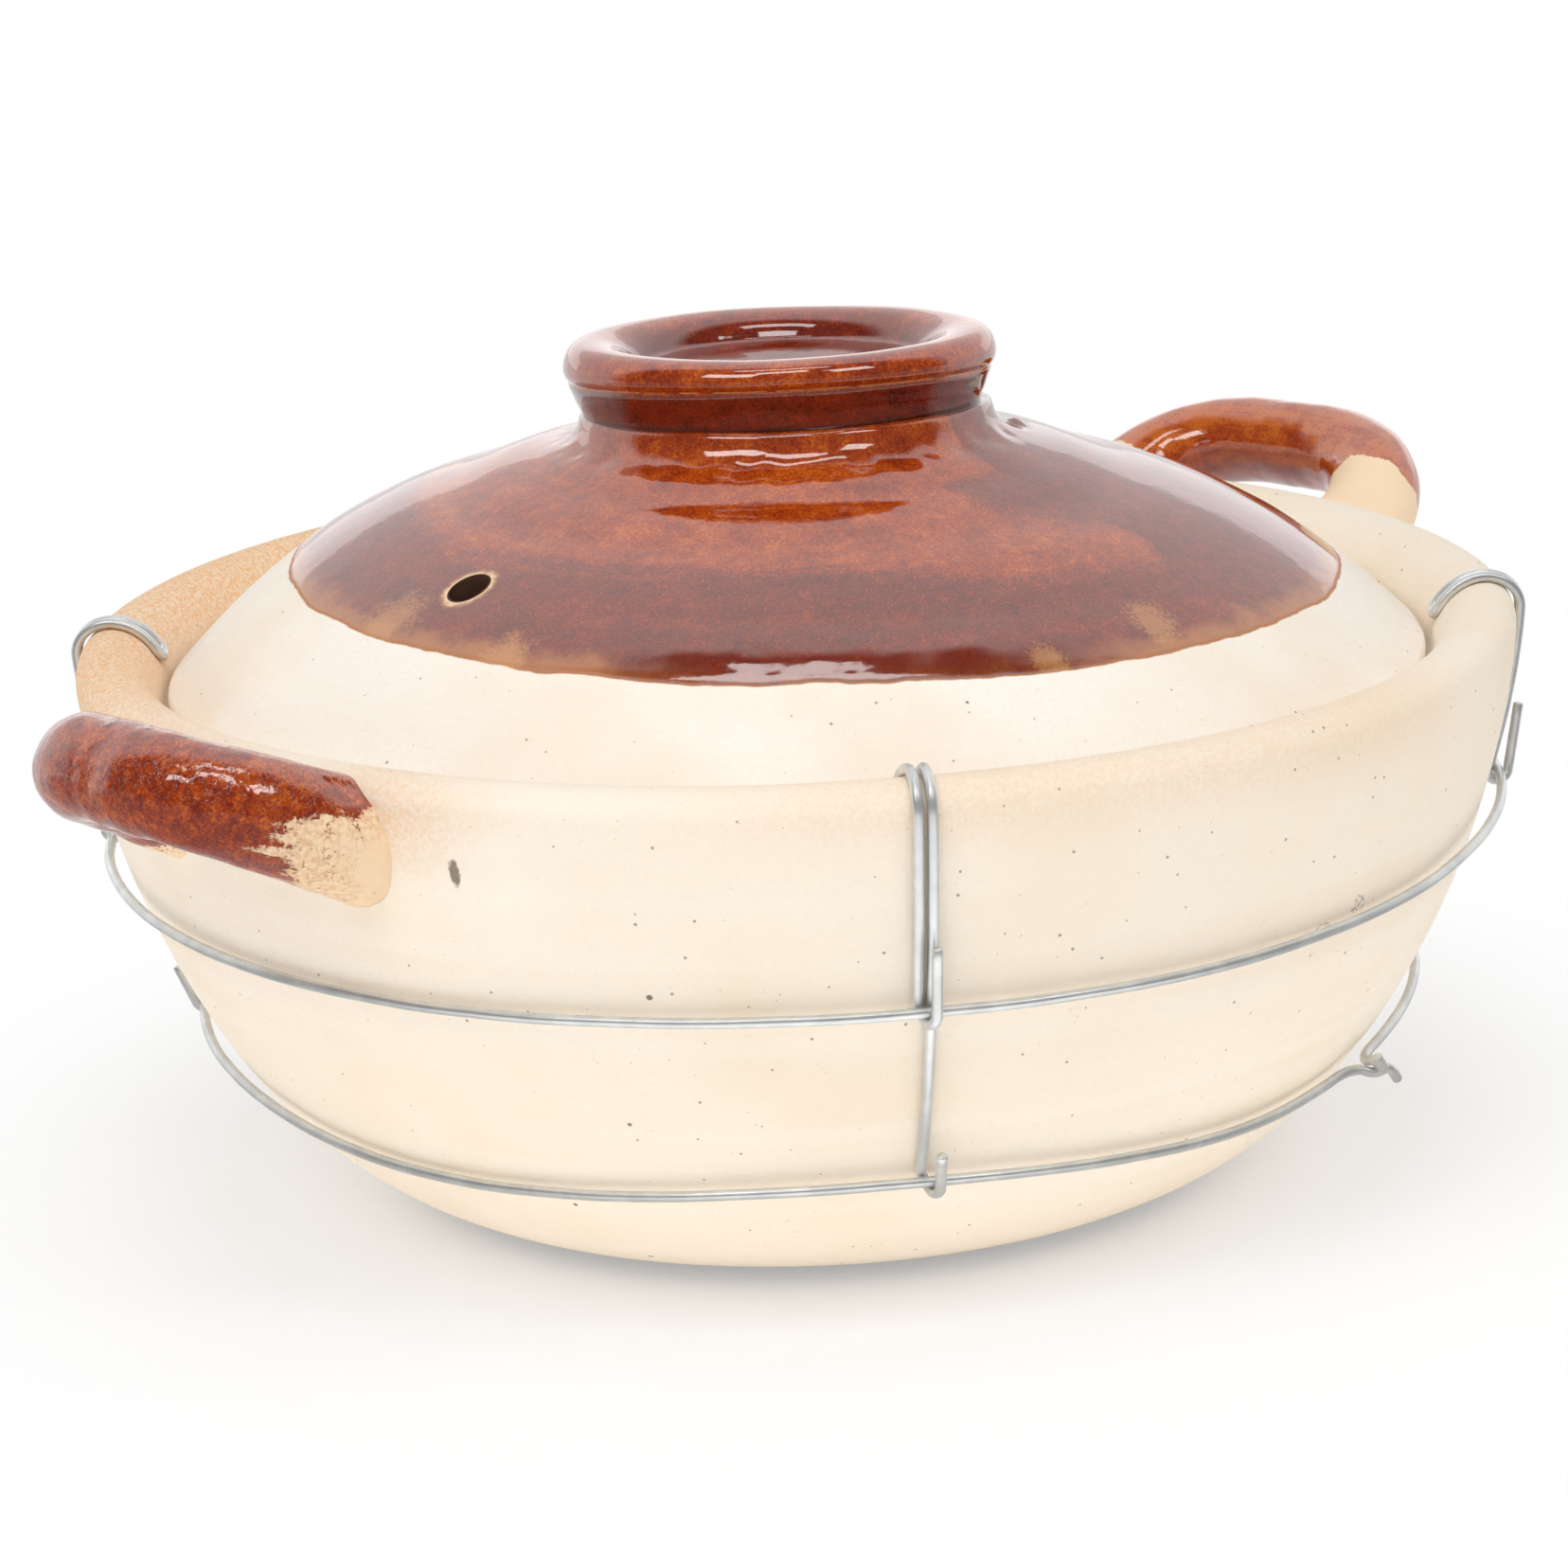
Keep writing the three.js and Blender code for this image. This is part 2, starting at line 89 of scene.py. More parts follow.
# Knob.
KNOB_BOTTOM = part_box("lid_knob")[0].z / MM
KNOB_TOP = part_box("lid_knob")[1].z / MM
KNOB_NECK_RADIUS = 35
KNOB_FLARE_RADIUS = 37.3
KNOB_RING_RADIUS = 38
KNOB_RING_HEIGHT = 5.85
KNOB_RING_WIDTH = 9
KNOB_RING_LEAN = 0.6
KNOB_SEAM_DEPTH = 0.3
KNOB_DISH_DEPTH = 8.2
KNOB_DISH_WALL = 3.5
KNOB_DISH_FLOOR = 20
KNOB_DISH_BOWL = 2.4
KNOB_DISH_CONE = 0.8
KNOB_SINK = 2
KNOB_HIGH_SIDE = 226
KNOB_SHIFT = 0.75
KNOB_SHIFT_SIDE = 133.75
JOINT_LEAN = 3.6
SEAM_LEAN = 5.4
CREST_LEAN = 2.2
JOINT_SINK = 0.9
SEAM_SINK = 1.2
KNOB_SEAM = KNOB_TOP - KNOB_RING_HEIGHT

# Handles.
LEFT_OFF_AXIS = 2.25
RIGHT_OFF_AXIS = 1.5
HANDLE_MIDDLE_RADIUS = 142
HANDLE_ROOT_DROP = 13.5
HANDLE_ROOT_DEPTH = 8
HANDLE_SQUARENESS = 3
HANDLE_ROOT_FLARE = 1.1
THUMB_ANGLE = 209.5
THUMB_ELEVATION = 30
THUMB_FROM = 0.3
THUMB_TO = 0.56
THUMB_DEPTH = 0.5

# Wire cage.
WIRE_RADIUS = 0.9
WIRE_GAP = 0.15
LEG_SPACING = 2.3
LOOP_SPACING = 4
LOOP_DROP = 6
PRONG_SHIFT = 2.5
UPPER_PRONG = 12.5
LOWER_PRONG = 8
PRONG_LEAN = 8
HOOP_STAND = 1
UPPER_HOOP_SAG = 1.6
LOWER_HOOP_SAG = 5.8
PIGTAIL_LENGTH = 4.5
PIGTAIL_TAIL = 2.4
PIGTAIL_SPACING = 2.3
PIGTAIL_STAND = 1.6
PIGTAIL_BEND = 2.2
UPPER_PIGTAIL_ANGLE = 70
LOWER_PIGTAIL_ANGLE = 286
RIGHT_TIE_SWING = 3.5

# Each tie: its angle, how far its long leg turns on the way down, and its hoops' drops below the rim.
TIES = {
    "rim_tie_front": (232.2, 0, 37, 70),
    "rim_tie_right": (311.8, RIGHT_TIE_SWING, 33.7, 67),
    "rim_tie_back": (43, 0, 36, 67),
    "rim_tie_left": (131.8, 0, 36, 67),
}

# Photograph: the image's side and focal length in pixels, and the pixel of the rim's centre.
IMAGE_SIDE = 1656
FOCAL_PIXELS = 5354
RIM_PIXEL_X = 838.4
RIM_PIXEL_Y = 637.8
VIEW_DISTANCE = 900
VIEW_AZIMUTH = -46.25
VIEW_ELEVATION = 13.12
VIEW_ROLL = -2.38
SENSOR_WIDTH = 36


def steps(first, last, count):
    """Values at equal steps, both ends included."""
    return [first + (last - first) * i / count for i in range(count + 1)]


def bend(a, b, c, count):
    """Points of a quadratic curve from a to c, drawn towards b."""
    points = []
    for t in steps(0, 1, count):
        weights = ((1 - t) ** 2, 2 * t * (1 - t), t * t)
        points.append(tuple(sum(w * p[k] for w, p in zip(weights, (a, b, c))) for k in (0, 1)))
    return points


def evenly(profile, spacing):
    """The same line with points at about an even spacing. Corners are kept."""
    points = [profile[0]]
    for (r0, z0), (r1, z1) in zip(profile, profile[1:]):
        length = hypot(r1 - r0, z1 - z0)
        count = max(1, round(length / spacing))
        points += [(r0 + (r1 - r0) * i / count, z0 + (z1 - z0) * i / count) for i in range(1, count + 1)]
    return points


def softened(profile, passes):
    """Rounds the corners of a line as a wet sponge does. The ends stay."""
    for _ in range(passes):
        middle = [
            tuple((a[k] + 2 * b[k] + c[k]) / 4 for k in (0, 1))
            for a, b, c in zip(profile, profile[1:], profile[2:])
        ]
        profile = [profile[0], *middle, profile[-1]]
    return profile


def smooth(t):
    """A smooth rise from 0 to 1 as t goes from 0 to 1."""
    t = min(max(t, 0), 1)
    return t * t * (3 - 2 * t)


def around(angle, r, shift, z):
    """A point at an angle round the pot, with a shift along the rim."""
    a = radians(angle)
    return Vector((r * cos(a) - shift * sin(a), r * sin(a) + shift * cos(a), z))


def wavy(angle, z, turns, height, seed):
    """Smooth noise that runs round the pot without a seam."""
    return noise.noise(Vector((turns * cos(angle), turns * sin(angle), z / height + seed)))


def piece(name, points, faces):
    """A smooth mesh object from points in millimetres."""
    mesh = bpy.data.meshes.new(name)
    mesh.from_pydata([Vector(p) * MM for p in points], [], faces)
    mesh.validate()
    mesh.shade_smooth()
    made = bpy.data.objects.new(name, mesh)
    scene.collection.objects.link(made)
    return made


def mark(made, name, values):
    """Keeps a number for each point, for the finish to read."""
    made.data.attributes.new(name, "FLOAT", "POINT").data.foreach_set("value", values)


def turned(name, profile, segments, shift):
    """Turns a profile from axis to axis. shift(angle, r, z) is the unevenness of hand work."""
    first, *rings, last = profile
    angles = [2 * pi * k / segments for k in range(segments)]
    points = [(0, 0, first[1])]
    for r, z in rings:
        for a in angles:
            dr, dz = shift(a, r, z)
            points.append(((r + dr) * cos(a), (r + dr) * sin(a), z + dz))
    points.append((0, 0, last[1]))
    end = len(points) - 1
    faces = []
    for k in range(segments):
        after = (k + 1) % segments
        faces.append((0, 1 + after, 1 + k))
        for i in range(len(rings) - 1):
            near = 1 + i * segments
            far = near + segments
            faces.append((near + k, near + after, far + after, far + k))
        top = end - segments
        faces.append((end, top + k, top + after))
    return piece(name, points, faces)


def swept(name, points, radius_at, side, sides):
    """A round bar along points, carried without turning. radius_at(i, turn) gives its section."""
    last = len(points) - 1
    rings = []
    for i, point in enumerate(points):
        along = (points[min(i + 1, last)] - points[max(i - 1, 0)]).normalized()
        side = (side - along * side.dot(along)).normalized()
        up = side.cross(along)
        for k in range(sides):
            turn = 2 * pi * k / sides
            radius = radius_at(i, turn)
            rings.append(point + side * (radius * cos(turn)) + up * (radius * sin(turn)))
    faces = []
    for i in range(last):
        for k in range(sides):
            after = (k + 1) % sides
            near = i * sides
            far = near + sides
            faces.append((near + k, near + after, far + after, far + k))
    faces.append(tuple(reversed(range(sides))))
    faces.append(tuple(range(last * sides, (last + 1) * sides)))
    return piece(name, rings, faces)


# Forms that the pot, lid, handles and wires share.


def bulge(z, bottom, foot, rim):
    """A quarter superellipse from a foot to the rim."""
    fall = min(max(1 - (z - bottom) / (POT_HEIGHT - bottom), 0), 1)
    return foot + (rim - foot) * sqrt(1 - fall**WALL_FULLNESS)


def wall_radius(z):
    return bulge(z, 0, FOOT_RADIUS, RIM_RADIUS)


def inner_radius(z):
    return bulge(z, FLOOR_THICKNESS, FLOOR_RADIUS, RIM_RADIUS - WALL_THICKNESS)


def lip_point(u):
    """The lip: u from -1 at the gallery, over the crest at 0, to 1 at the outer wall."""
    a = abs(u) * pi / 2
    if u < 0:
        width = CREST_RADIUS - GALLERY_RADIUS
        return CREST_RADIUS - width * sin(a), LEDGE_TOP + GALLERY_DEPTH * cos(a)
    width = wall_radius(POT_HEIGHT - LIP_DROP) - CREST_RADIUS
    return CREST_RADIUS + width * sin(a), POT_HEIGHT - LIP_DROP + LIP_DROP * cos(a)


def dome_height(r):
    return DOME_FOOT + DOME_RISE * (1 - (r / LID_EDGE_RADIUS) ** DOME_FULLNESS)


def hollow_height(r):
    return LID_BOTTOM + HOLLOW_RISE * (1 - (r / HOLLOW_RADIUS) ** DOME_FULLNESS)


# Where the lid's glaze ends: a circle that the brush set off centre, with a slow waver.
GLAZE_RADIUS = 92.8
GLAZE_OFF_CENTRE = 4.2
GLAZE_FAR_SIDE = 328.75
GLAZE_THICKNESS = 0.2

# A thick run of glaze stands along the edge at the front.
BEAD_HEIGHT = 0.8
BEAD_CREST = 5.5
BEAD_MIDDLE = 231
BEAD_HALF_WIDTH = 26

# The dome came out fuller on one side.
FULL_SIDE = 118.75
FULL_SIDE_RISE = 2.2

# The dome runs up to the knob as a mound, which is highest a little way out from the joint.
MOUND_RISE = 2.4
MOUND_START = 36.6
MOUND_CREST = 43.6
MOUND_END = 62

# A lump of glaze beside the knob.
LUMP_ANGLE = 322
LUMP_DISTANCE = 41
LUMP_HEIGHT = 1.1
LUMP_SIZE = 1.5


def glaze_edge(angle):
    far = cos(angle - radians(GLAZE_FAR_SIDE))
    return GLAZE_RADIUS + GLAZE_OFF_CENTRE * far


def lean_of(lean, angle, r):
    """How high a leaning ring stands at a place round it."""
    return tan(radians(lean)) * r * cos(angle - radians(KNOB_HIGH_SIDE))


def boss_lean(angle, r):
    """How far the boss rises or falls with the leaning knob."""
    hold = smooth((BOSS_RADIUS + BOSS_FILLET - r) / BOSS_FILLET)
    return hold * (lean_of(JOINT_LEAN, angle, r) - JOINT_SINK)


def full_side(angle, r):
    """How far the dome rises on its fuller side."""
    start = BOSS_RADIUS - 6
    across = min(max((r - start) / (LID_EDGE_RADIUS - start), 0), 1)
    side = max(cos(angle - radians(FULL_SIDE)), 0)
    return FULL_SIDE_RISE * sin(pi * across) * side**4


def mound(r):
    """How far the mound round the boss stands over the plain dome."""
    rise = min(max((r - MOUND_START) / (MOUND_CREST - MOUND_START), 0), 1)
    fall = smooth((r - MOUND_CREST) / (MOUND_END - MOUND_CREST))
    return MOUND_RISE * (sin(pi / 2 * rise) - fall)


def clots(angle, r):
    """Glaze that clotted in the corner under the knob, and one lump beside it."""
    near = exp(-(((r - BOSS_RADIUS - 2.5) / 2.5) ** 2))
    place = around(degrees(angle), r, 0, 0) - around(LUMP_ANGLE, LUMP_DISTANCE, 0, 0)
    lump = LUMP_HEIGHT * exp(-((place.length / LUMP_SIZE) ** 2))
    return 0.5 * near * wavy(angle, r, 9, 5, 11) + lump


# Pieces.


def make_pot():
    ledge_inner = GALLERY_RADIUS - LEDGE_WIDTH
    ledge_bottom = LEDGE_TOP - LEDGE_THICKNESS
    blend_bottom = ledge_bottom - LEDGE_BLEND_DROP
    blend_pull = (ledge_inner, (ledge_bottom + blend_bottom) / 2)
    blend_end = (inner_radius(blend_bottom), blend_bottom)
    outer = [(POT_HEIGHT - LIP_DROP) * t**1.7 for t in steps(0, 1, 70)]
    inner = [FLOOR_THICKNESS + (blend_bottom - FLOOR_THICKNESS) * t**1.8 for t in steps(1, 0, 50)]
    profile = [
        (0, 0),
        *((wall_radius(z), z) for z in outer),
        *(lip_point(u) for u in steps(1, -1, 24)[1:]),
        (ledge_inner, LEDGE_TOP),
        *bend((ledge_inner, ledge_bottom), blend_pull, blend_end, 16),
        *((inner_radius(z), z) for z in inner[1:]),
        (0, FLOOR_THICKNESS),
    ]

    def thrown(angle, r, z):
        lift = z / POT_HEIGHT
        out_of_round = 0.3 * lift * cos(2 * angle - 1.1)
        rings = 0.11 * wavy(angle, z + 3 * sin(angle), 0.7, 3.1, 0)
        dents = 0.16 * wavy(angle, z, 3.5, 22, 9)
        lip = 0.35 * max(lift - 0.8, 0) / 0.2 * wavy(angle, 0, 1.6, 1, 4)
        return out_of_round + rings + dents, lip

    pot = turned("pot_clay", softened(evenly(profile, 1.2), 2), 288, thrown)
    bowl = []
    for vertex in pot.data.vertices:
        x, y, z = vertex.co / MM
        middle = (wall_radius(z) + inner_radius(max(z, FLOOR_THICKNESS))) / 2
        bowl.append(float(z > FLOOR_THICKNESS / 2 and hypot(x, y) < middle))
    mark(pot, "inside", bowl)
    return pot


def make_lid():
    fillet_foot = BOSS_RADIUS + BOSS_FILLET
    out = fillet_foot / LID_EDGE_RADIUS
    slope = DOME_RISE * DOME_FULLNESS * out ** (DOME_FULLNESS - 1) / LID_EDGE_RADIUS
    corner = (BOSS_RADIUS + BOSS_DRAFT, dome_height(fillet_foot) + slope * (BOSS_FILLET - BOSS_DRAFT))
    dome = [LID_EDGE_RADIUS + (fillet_foot - LID_EDGE_RADIUS) * t**1.3 for t in steps(0, 1, 60)]
    hollow = [HOLLOW_RADIUS * (1 - t**1.5) for t in steps(1, 0, 50)]
    profile = [
        *((r, hollow_height(r)) for r in hollow),
        (LID_EDGE_RADIUS - LID_EDGE_ROUND, LID_BOTTOM),
        (LID_EDGE_RADIUS, LID_BOTTOM + LID_EDGE_ROUND),
        *((r, dome_height(r)) for r in dome[:-1]),
        *bend((fillet_foot, dome_height(fillet_foot)), corner, (BOSS_RADIUS, BOSS_TOP), 20),
        (0, BOSS_TOP),
    ]

    def thrown(angle, r, z):
        rings = 0.05 * wavy(angle, r + 2 * sin(angle + 1), 0.8, 3.8, 2)
        dents = 0.16 * wavy(angle, r, 3.2, 24, 5)
        on_top = z > hollow_height(min(r, HOLLOW_RADIUS)) + 2
        shape = rings + full_side(angle, r)
        if not on_top:
            return 0, shape
        shape += boss_lean(angle, r) + mound(r) + clots(angle, r)
        inside = glaze_edge(angle) - r + 0.5 * wavy(angle, 0, 9, 1, 3)
        coat = min(max(inside / 1.2, 0), 1)
        from_bead = (degrees(angle) - BEAD_MIDDLE + 180) % 360 - 180
        bead_share = exp(-((from_bead / BEAD_HALF_WIDTH) ** 4)) + 0.15
        lumpy = 0.8 + 0.5 * wavy(angle, 0, 12, 1, 6) + 0.25 * wavy(angle, r, 36, 3, 6)
        swell = smooth(inside / BEAD_CREST) - smooth((inside / BEAD_CREST - 1) / 1.4)
        bead = BEAD_HEIGHT * bead_share * lumpy * swell
        return 0, shape + dents + GLAZE_THICKNESS * coat + bead

    lid = turned("lid_glazed", softened(evenly(profile, 0.8), 2), 300, thrown)
    cut_vent(lid)
    return lid


def cut_vent(lid):
    """Bores the steam vent: a punched hole, a little ragged."""
    low = LID_BOTTOM
    high = BOSS_TOP
    centre = around(VENT_ANGLE, VENT_DISTANCE, 0, 0)
    profile = evenly([(0, low), (VENT_RADIUS, low), (VENT_RADIUS, high), (0, high)], 0.6)

    def ragged(angle, r, z):
        return (0.35 * wavy(angle, z, 1.3, 2.5, 1) if r > VENT_RADIUS / 2 else 0), 0

    cutter = turned("vent_cutter", profile, 40, ragged)
    cutter.location = centre * MM
    cut = lid.modifiers.new("vent", "BOOLEAN")
    cut.operation = "DIFFERENCE"
    cut.solver = "EXACT"
    cut.object = cutter
    bpy.context.view_layer.update()
    graph = bpy.context.evaluated_depsgraph_get()
    bored = bpy.data.meshes.new_from_object(lid.evaluated_get(graph))
    lid.modifiers.clear()
    lid.data = bored
    lid.data.set_sharp_from_angle(angle=radians(50))
    bpy.data.objects.remove(cutter)


def make_knob():
    crest = KNOB_RING_RADIUS - KNOB_RING_WIDTH / 2
    dish_edge = KNOB_RING_RADIUS - KNOB_RING_WIDTH
    dish_floor = KNOB_TOP - KNOB_DISH_DEPTH
    ring_foot = (KNOB_RING_RADIUS - 0.8, KNOB_SEAM + 0.2)
    ring_side = (KNOB_RING_RADIUS, KNOB_SEAM + 2.2)
    ring_pull = (KNOB_RING_RADIUS - KNOB_RING_LEAN, KNOB_TOP)
    dish_brow = (dish_edge - 1.5, KNOB_TOP)
    dish_wall = (dish_edge - KNOB_DISH_WALL, KNOB_TOP - 0.55 * KNOB_DISH_DEPTH)
    dish_corner = (dish_edge - 1.35 * KNOB_DISH_WALL, dish_floor + KNOB_DISH_BOWL + 0.5)
    dish_end = (KNOB_DISH_FLOOR, dish_floor + KNOB_DISH_BOWL)
    dish_pull = (KNOB_DISH_FLOOR / 2, dish_floor + KNOB_DISH_CONE)
    profile = [
        (0, KNOB_BOTTOM - KNOB_SINK),
        (KNOB_NECK_RADIUS, KNOB_BOTTOM - KNOB_SINK),
        (KNOB_NECK_RADIUS, KNOB_BOTTOM),
        (KNOB_FLARE_RADIUS, KNOB_SEAM - KNOB_SEAM_DEPTH),
        (KNOB_FLARE_RADIUS - KNOB_SEAM_DEPTH, KNOB_SEAM),
        *bend(ring_foot, (KNOB_RING_RADIUS, KNOB_SEAM + 0.7), ring_side, 8),
        *bend(ring_side, ring_pull, (crest, KNOB_TOP), 16)[1:],
        *bend((crest, KNOB_TOP), dish_brow, dish_wall, 14)[1:],
        *bend(dish_wall, dish_corner, dish_end, 12)[1:],
        *bend(dish_end, dish_pull, (0, dish_floor), 10)[1:],
    ]

    def thrown(angle, r, z):
        rings = 0.1 * wavy(angle, z + r, 1.2, 3, 1)
        dents = 0.3 * wavy(angle, z, 2.6, 9, 7)
        joint = lean_of(JOINT_LEAN, angle, r) - JOINT_SINK
        seam = lean_of(SEAM_LEAN, angle, r) - SEAM_SINK
        above_joint = min(max((z - KNOB_BOTTOM) / (KNOB_SEAM - KNOB_BOTTOM), 0), 1)
        above_seam = min(max((z - KNOB_SEAM) / (KNOB_TOP - KNOB_SEAM), 0), 1)
        outside = joint + (seam - joint) * above_joint
        crest_line = lean_of(CREST_LEAN, angle, r)
        top_side = r < crest and z > KNOB_BOTTOM + 1
        leaning = crest_line if top_side else outside + (crest_line - outside) * above_seam
        return rings + dents, 0.2 * wavy(angle, r, 1.7, 14, 2) + leaning

    knob = turned("knob_glazed", softened(evenly(profile, 0.45), 2), 208, thrown)
    knob.location = around(KNOB_SHIFT_SIDE, KNOB_SHIFT, 0, 0) * MM
    return knob


def make_handle(name, angle, half_span, reach, rise, thickness, flare, seed, lumpy, thumbed):
    """A clay roll bent to a loop. Points keep how far along the roll they lie, and how high on it."""
    root_height = POT_HEIGHT - HANDLE_ROOT_DROP
    root_radius = wall_radius(root_height) - HANDLE_ROOT_DEPTH
    full_reach = reach + HANDLE_ROOT_DEPTH - 6
    power = 2 / HANDLE_SQUARENESS
    count = 150
    sides = 64
    turns = [pi * (t - 0.06 * sin(4 * pi * t)) for t in steps(0, 1, count)]
    bow = [max(sin(a), 0) ** power for a in turns]
    points = []
    for a, b in zip(turns, bow):
        spread = half_span * copysign(abs(cos(a)) ** power, cos(a))
        points.append(around(angle, root_radius + full_reach * b, -spread, root_height + rise * b))

    def radius_at(i, turn):
        section = Vector((0.9 * cos(turn), 0.9 * sin(turn), i / count * 9 + seed))
        lumps = lumpy * (0.55 * noise.noise(section) + 0.2 * noise.noise(section * 2.7))
        near_wall = exp(-max(full_reach * bow[i] - HANDLE_ROOT_DEPTH, 0) / 3)
        return thickness / 2 + HANDLE_ROOT_FLARE * (1 - bow[i]) + flare * near_wall + lumps

    roll = swept(name, points, radius_at, Vector((0, 0, 1)), sides)
    lengths = [0]
    for a, b in zip(points, points[1:]):
        lengths.append(lengths[-1] + (b - a).length)
    places = [2 * length / lengths[-1] - 1 for length in lengths for _ in range(sides)]
    elevation = radians(THUMB_ELEVATION)
    thumb = around(THUMB_ANGLE, cos(elevation), 0, sin(elevation))
    heights = []
    for k, vertex in enumerate(roll.data.vertices):
        off = vertex.co / MM - points[k // sides]
        heights.append(2 * off.z / thickness)
        pressed = smooth((places[k] - THUMB_FROM) / 0.08) * smooth((THUMB_TO - places[k]) / 0.08)
        over = max(off.dot(thumb) - thickness / 2 + THUMB_DEPTH, 0)
        vertex.co -= thumb * (thumbed * pressed * over * MM)
    mark(roll, "along", places)
    mark(roll, "upper", heights)
    return roll


def on_wall(z):
    """Where a wire lies on the outer wall, and the wall's outward and downward directions."""
    d = 0.01
    slope = (wall_radius(z + d) - wall_radius(z - d)) / (2 * d)
    length = hypot(slope, 1)
    out = (1 / length, -slope / length)
    off = WIRE_RADIUS + WIRE_GAP
    return (wall_radius(z) + off * out[0], z + off * out[1]), out, (-slope / length, -1 / length)


def on_lip(u):
    """Where a wire lies on the lip."""
    d = 0.001
    r0, z0 = lip_point(u - d)
    r1, z1 = lip_point(u + d)
    length = hypot(r1 - r0, z1 - z0)
    off = WIRE_RADIUS + WIRE_GAP
    r, z = lip_point(u)
    return r - off * (z1 - z0) / length, z + off * (r1 - r0) / length


def off_wall(drop, off):
    """A place further out than a wire that lies on the wall."""
    point, out, _ = on_wall(POT_HEIGHT - drop)
    return point[0] + off * out[0], point[1] + off * out[1]


# A tie holds a hoop one wire further out than its own leg.
HOOP_OFF = 2 * WIRE_RADIUS + WIRE_GAP


def hook(drop, prong, shift):
    """The hook of a tie: under the hoop and up in front of it, where the prong leans back."""
    _, out, down = on_wall(POT_HEIGHT - drop)
    cr, cz = off_wall(drop, HOOP_OFF)
    points = []
    for a in steps(0, pi, 14):
        o = -cos(a) * HOOP_OFF
        s = sin(a) * HOOP_OFF
        moved = shift + PRONG_SHIFT * a / pi
        points.append((cr + o * out[0] + s * down[0], moved, cz + o * out[1] + s * down[1]))
    r, s, z = points[-1]
    lean = radians(PRONG_LEAN)
    for length in steps(0, prong, 6)[1:]:
        up = length * cos(lean)
        back = length * sin(lean)
        points.append((r - up * down[0] - back * out[0], s, z - up * down[1] - back * out[1]))
    return points


def make_wire(name, points):
    """A drawn wire with a cut end. It is never quite straight."""
    first = Vector((0, 0, 1))
    if abs((points[1] - points[0]).normalized().z) > 0.9:
        first = Vector((1, 0, 0))
    wander = [p + 0.12 * noise.noise_vector(p / 14) for p in points]

    def radius_at(i, turn):
        return WIRE_RADIUS * (0.75 if i in (0, last) else 1)

    ends = [(wander[1] - wander[0]).normalized() * 0.2, (wander[-1] - wander[-2]).normalized() * 0.2]
    wander = [wander[0], wander[0] + ends[0], *wander[1:-1], wander[-1] - ends[1], wander[-1]]
    last = len(wander) - 1
    return swept(name, wander, radius_at, first, 14)


def make_tie(name, angle, swing, upper_drop, lower_drop):
    """A hairpin: its closed end hangs inside the rim, and each leg hooks a hoop."""
    tip = -acos(1 - LOOP_DROP / GALLERY_DEPTH) / (pi / 2)
    tip_point = Vector(on_lip(tip))
    lip_per_mm = 0.1 / (Vector(on_lip(tip + 0.1)) - tip_point).length
    loop_end = tip + lip_per_mm * LOOP_SPACING / 2
    half = LEG_SPACING / 2
    top = POT_HEIGHT - LIP_DROP

    def leg_on_wall(bottom, s):
        count = round((top - bottom) / 1.5)
        places = [on_wall(z)[0] for z in steps(top, bottom, count)[1:-1]]
        return [(r, s, z) for r, z in places]

    def leg_on_lip(s):
        points = []
        for u in steps(1, loop_end, 24):
            r, z = on_lip(u)
            spread = max(u / loop_end, 0) * (LOOP_SPACING - LEG_SPACING) / 2
            points.append((r, s + copysign(spread, s), z))
        return points

    loop = []
    for a in steps(-pi / 2, pi / 2, 14)[1:-1]:
        r, z = on_lip(loop_end - lip_per_mm * cos(a) * LOOP_SPACING / 2)
        loop.append((r, sin(a) * LOOP_SPACING / 2, z))
    straight = [
        *reversed(hook(upper_drop, UPPER_PRONG, -half)),
        *reversed(leg_on_wall(POT_HEIGHT - upper_drop, -half)),
        *leg_on_lip(-half),
        *loop,
        *reversed(leg_on_lip(half)),
    ]
    route = [around(angle, r, s, z) for r, s, z in straight]
    bottom = POT_HEIGHT - lower_drop
    for r, s, z in leg_on_wall(bottom, half):
        way = (top - z) / (top - bottom)
        route.append(around(angle + swing * way, r, s, z))
    route.extend(around(angle + swing, r, s, z) for r, s, z in hook(lower_drop, LOWER_PRONG, half))
    return make_wire(name + "_wire", route)


UPPER_STOPS = sorted((angle, upper) for angle, _, upper, _ in TIES.values())
LOWER_STOPS = sorted((angle + swing, lower) for angle, swing, _, lower in TIES.values())


def hoop_point(angle, stops, sag):
    """A hoop passes through every tie's hook. Between them it sags and lies closer to the wall."""
    start = stops[0][0]
    turned_angle = (angle - start) % 360 + start
    place = max(i for i, stop in enumerate(stops) if stop[0] <= turned_angle + 1e-9)
    from_angle, from_drop = stops[place]
    to_angle, to_drop = stops[(place + 1) % len(stops)]
    t = (turned_angle - from_angle) / ((to_angle - from_angle) % 360)
    wave = sin(pi * t) ** 2
    drop = from_drop + (to_drop - from_drop) * smooth(t) + sag * wave
    return off_wall(drop, HOOP_OFF + (HOOP_STAND - HOOP_OFF) * wave)


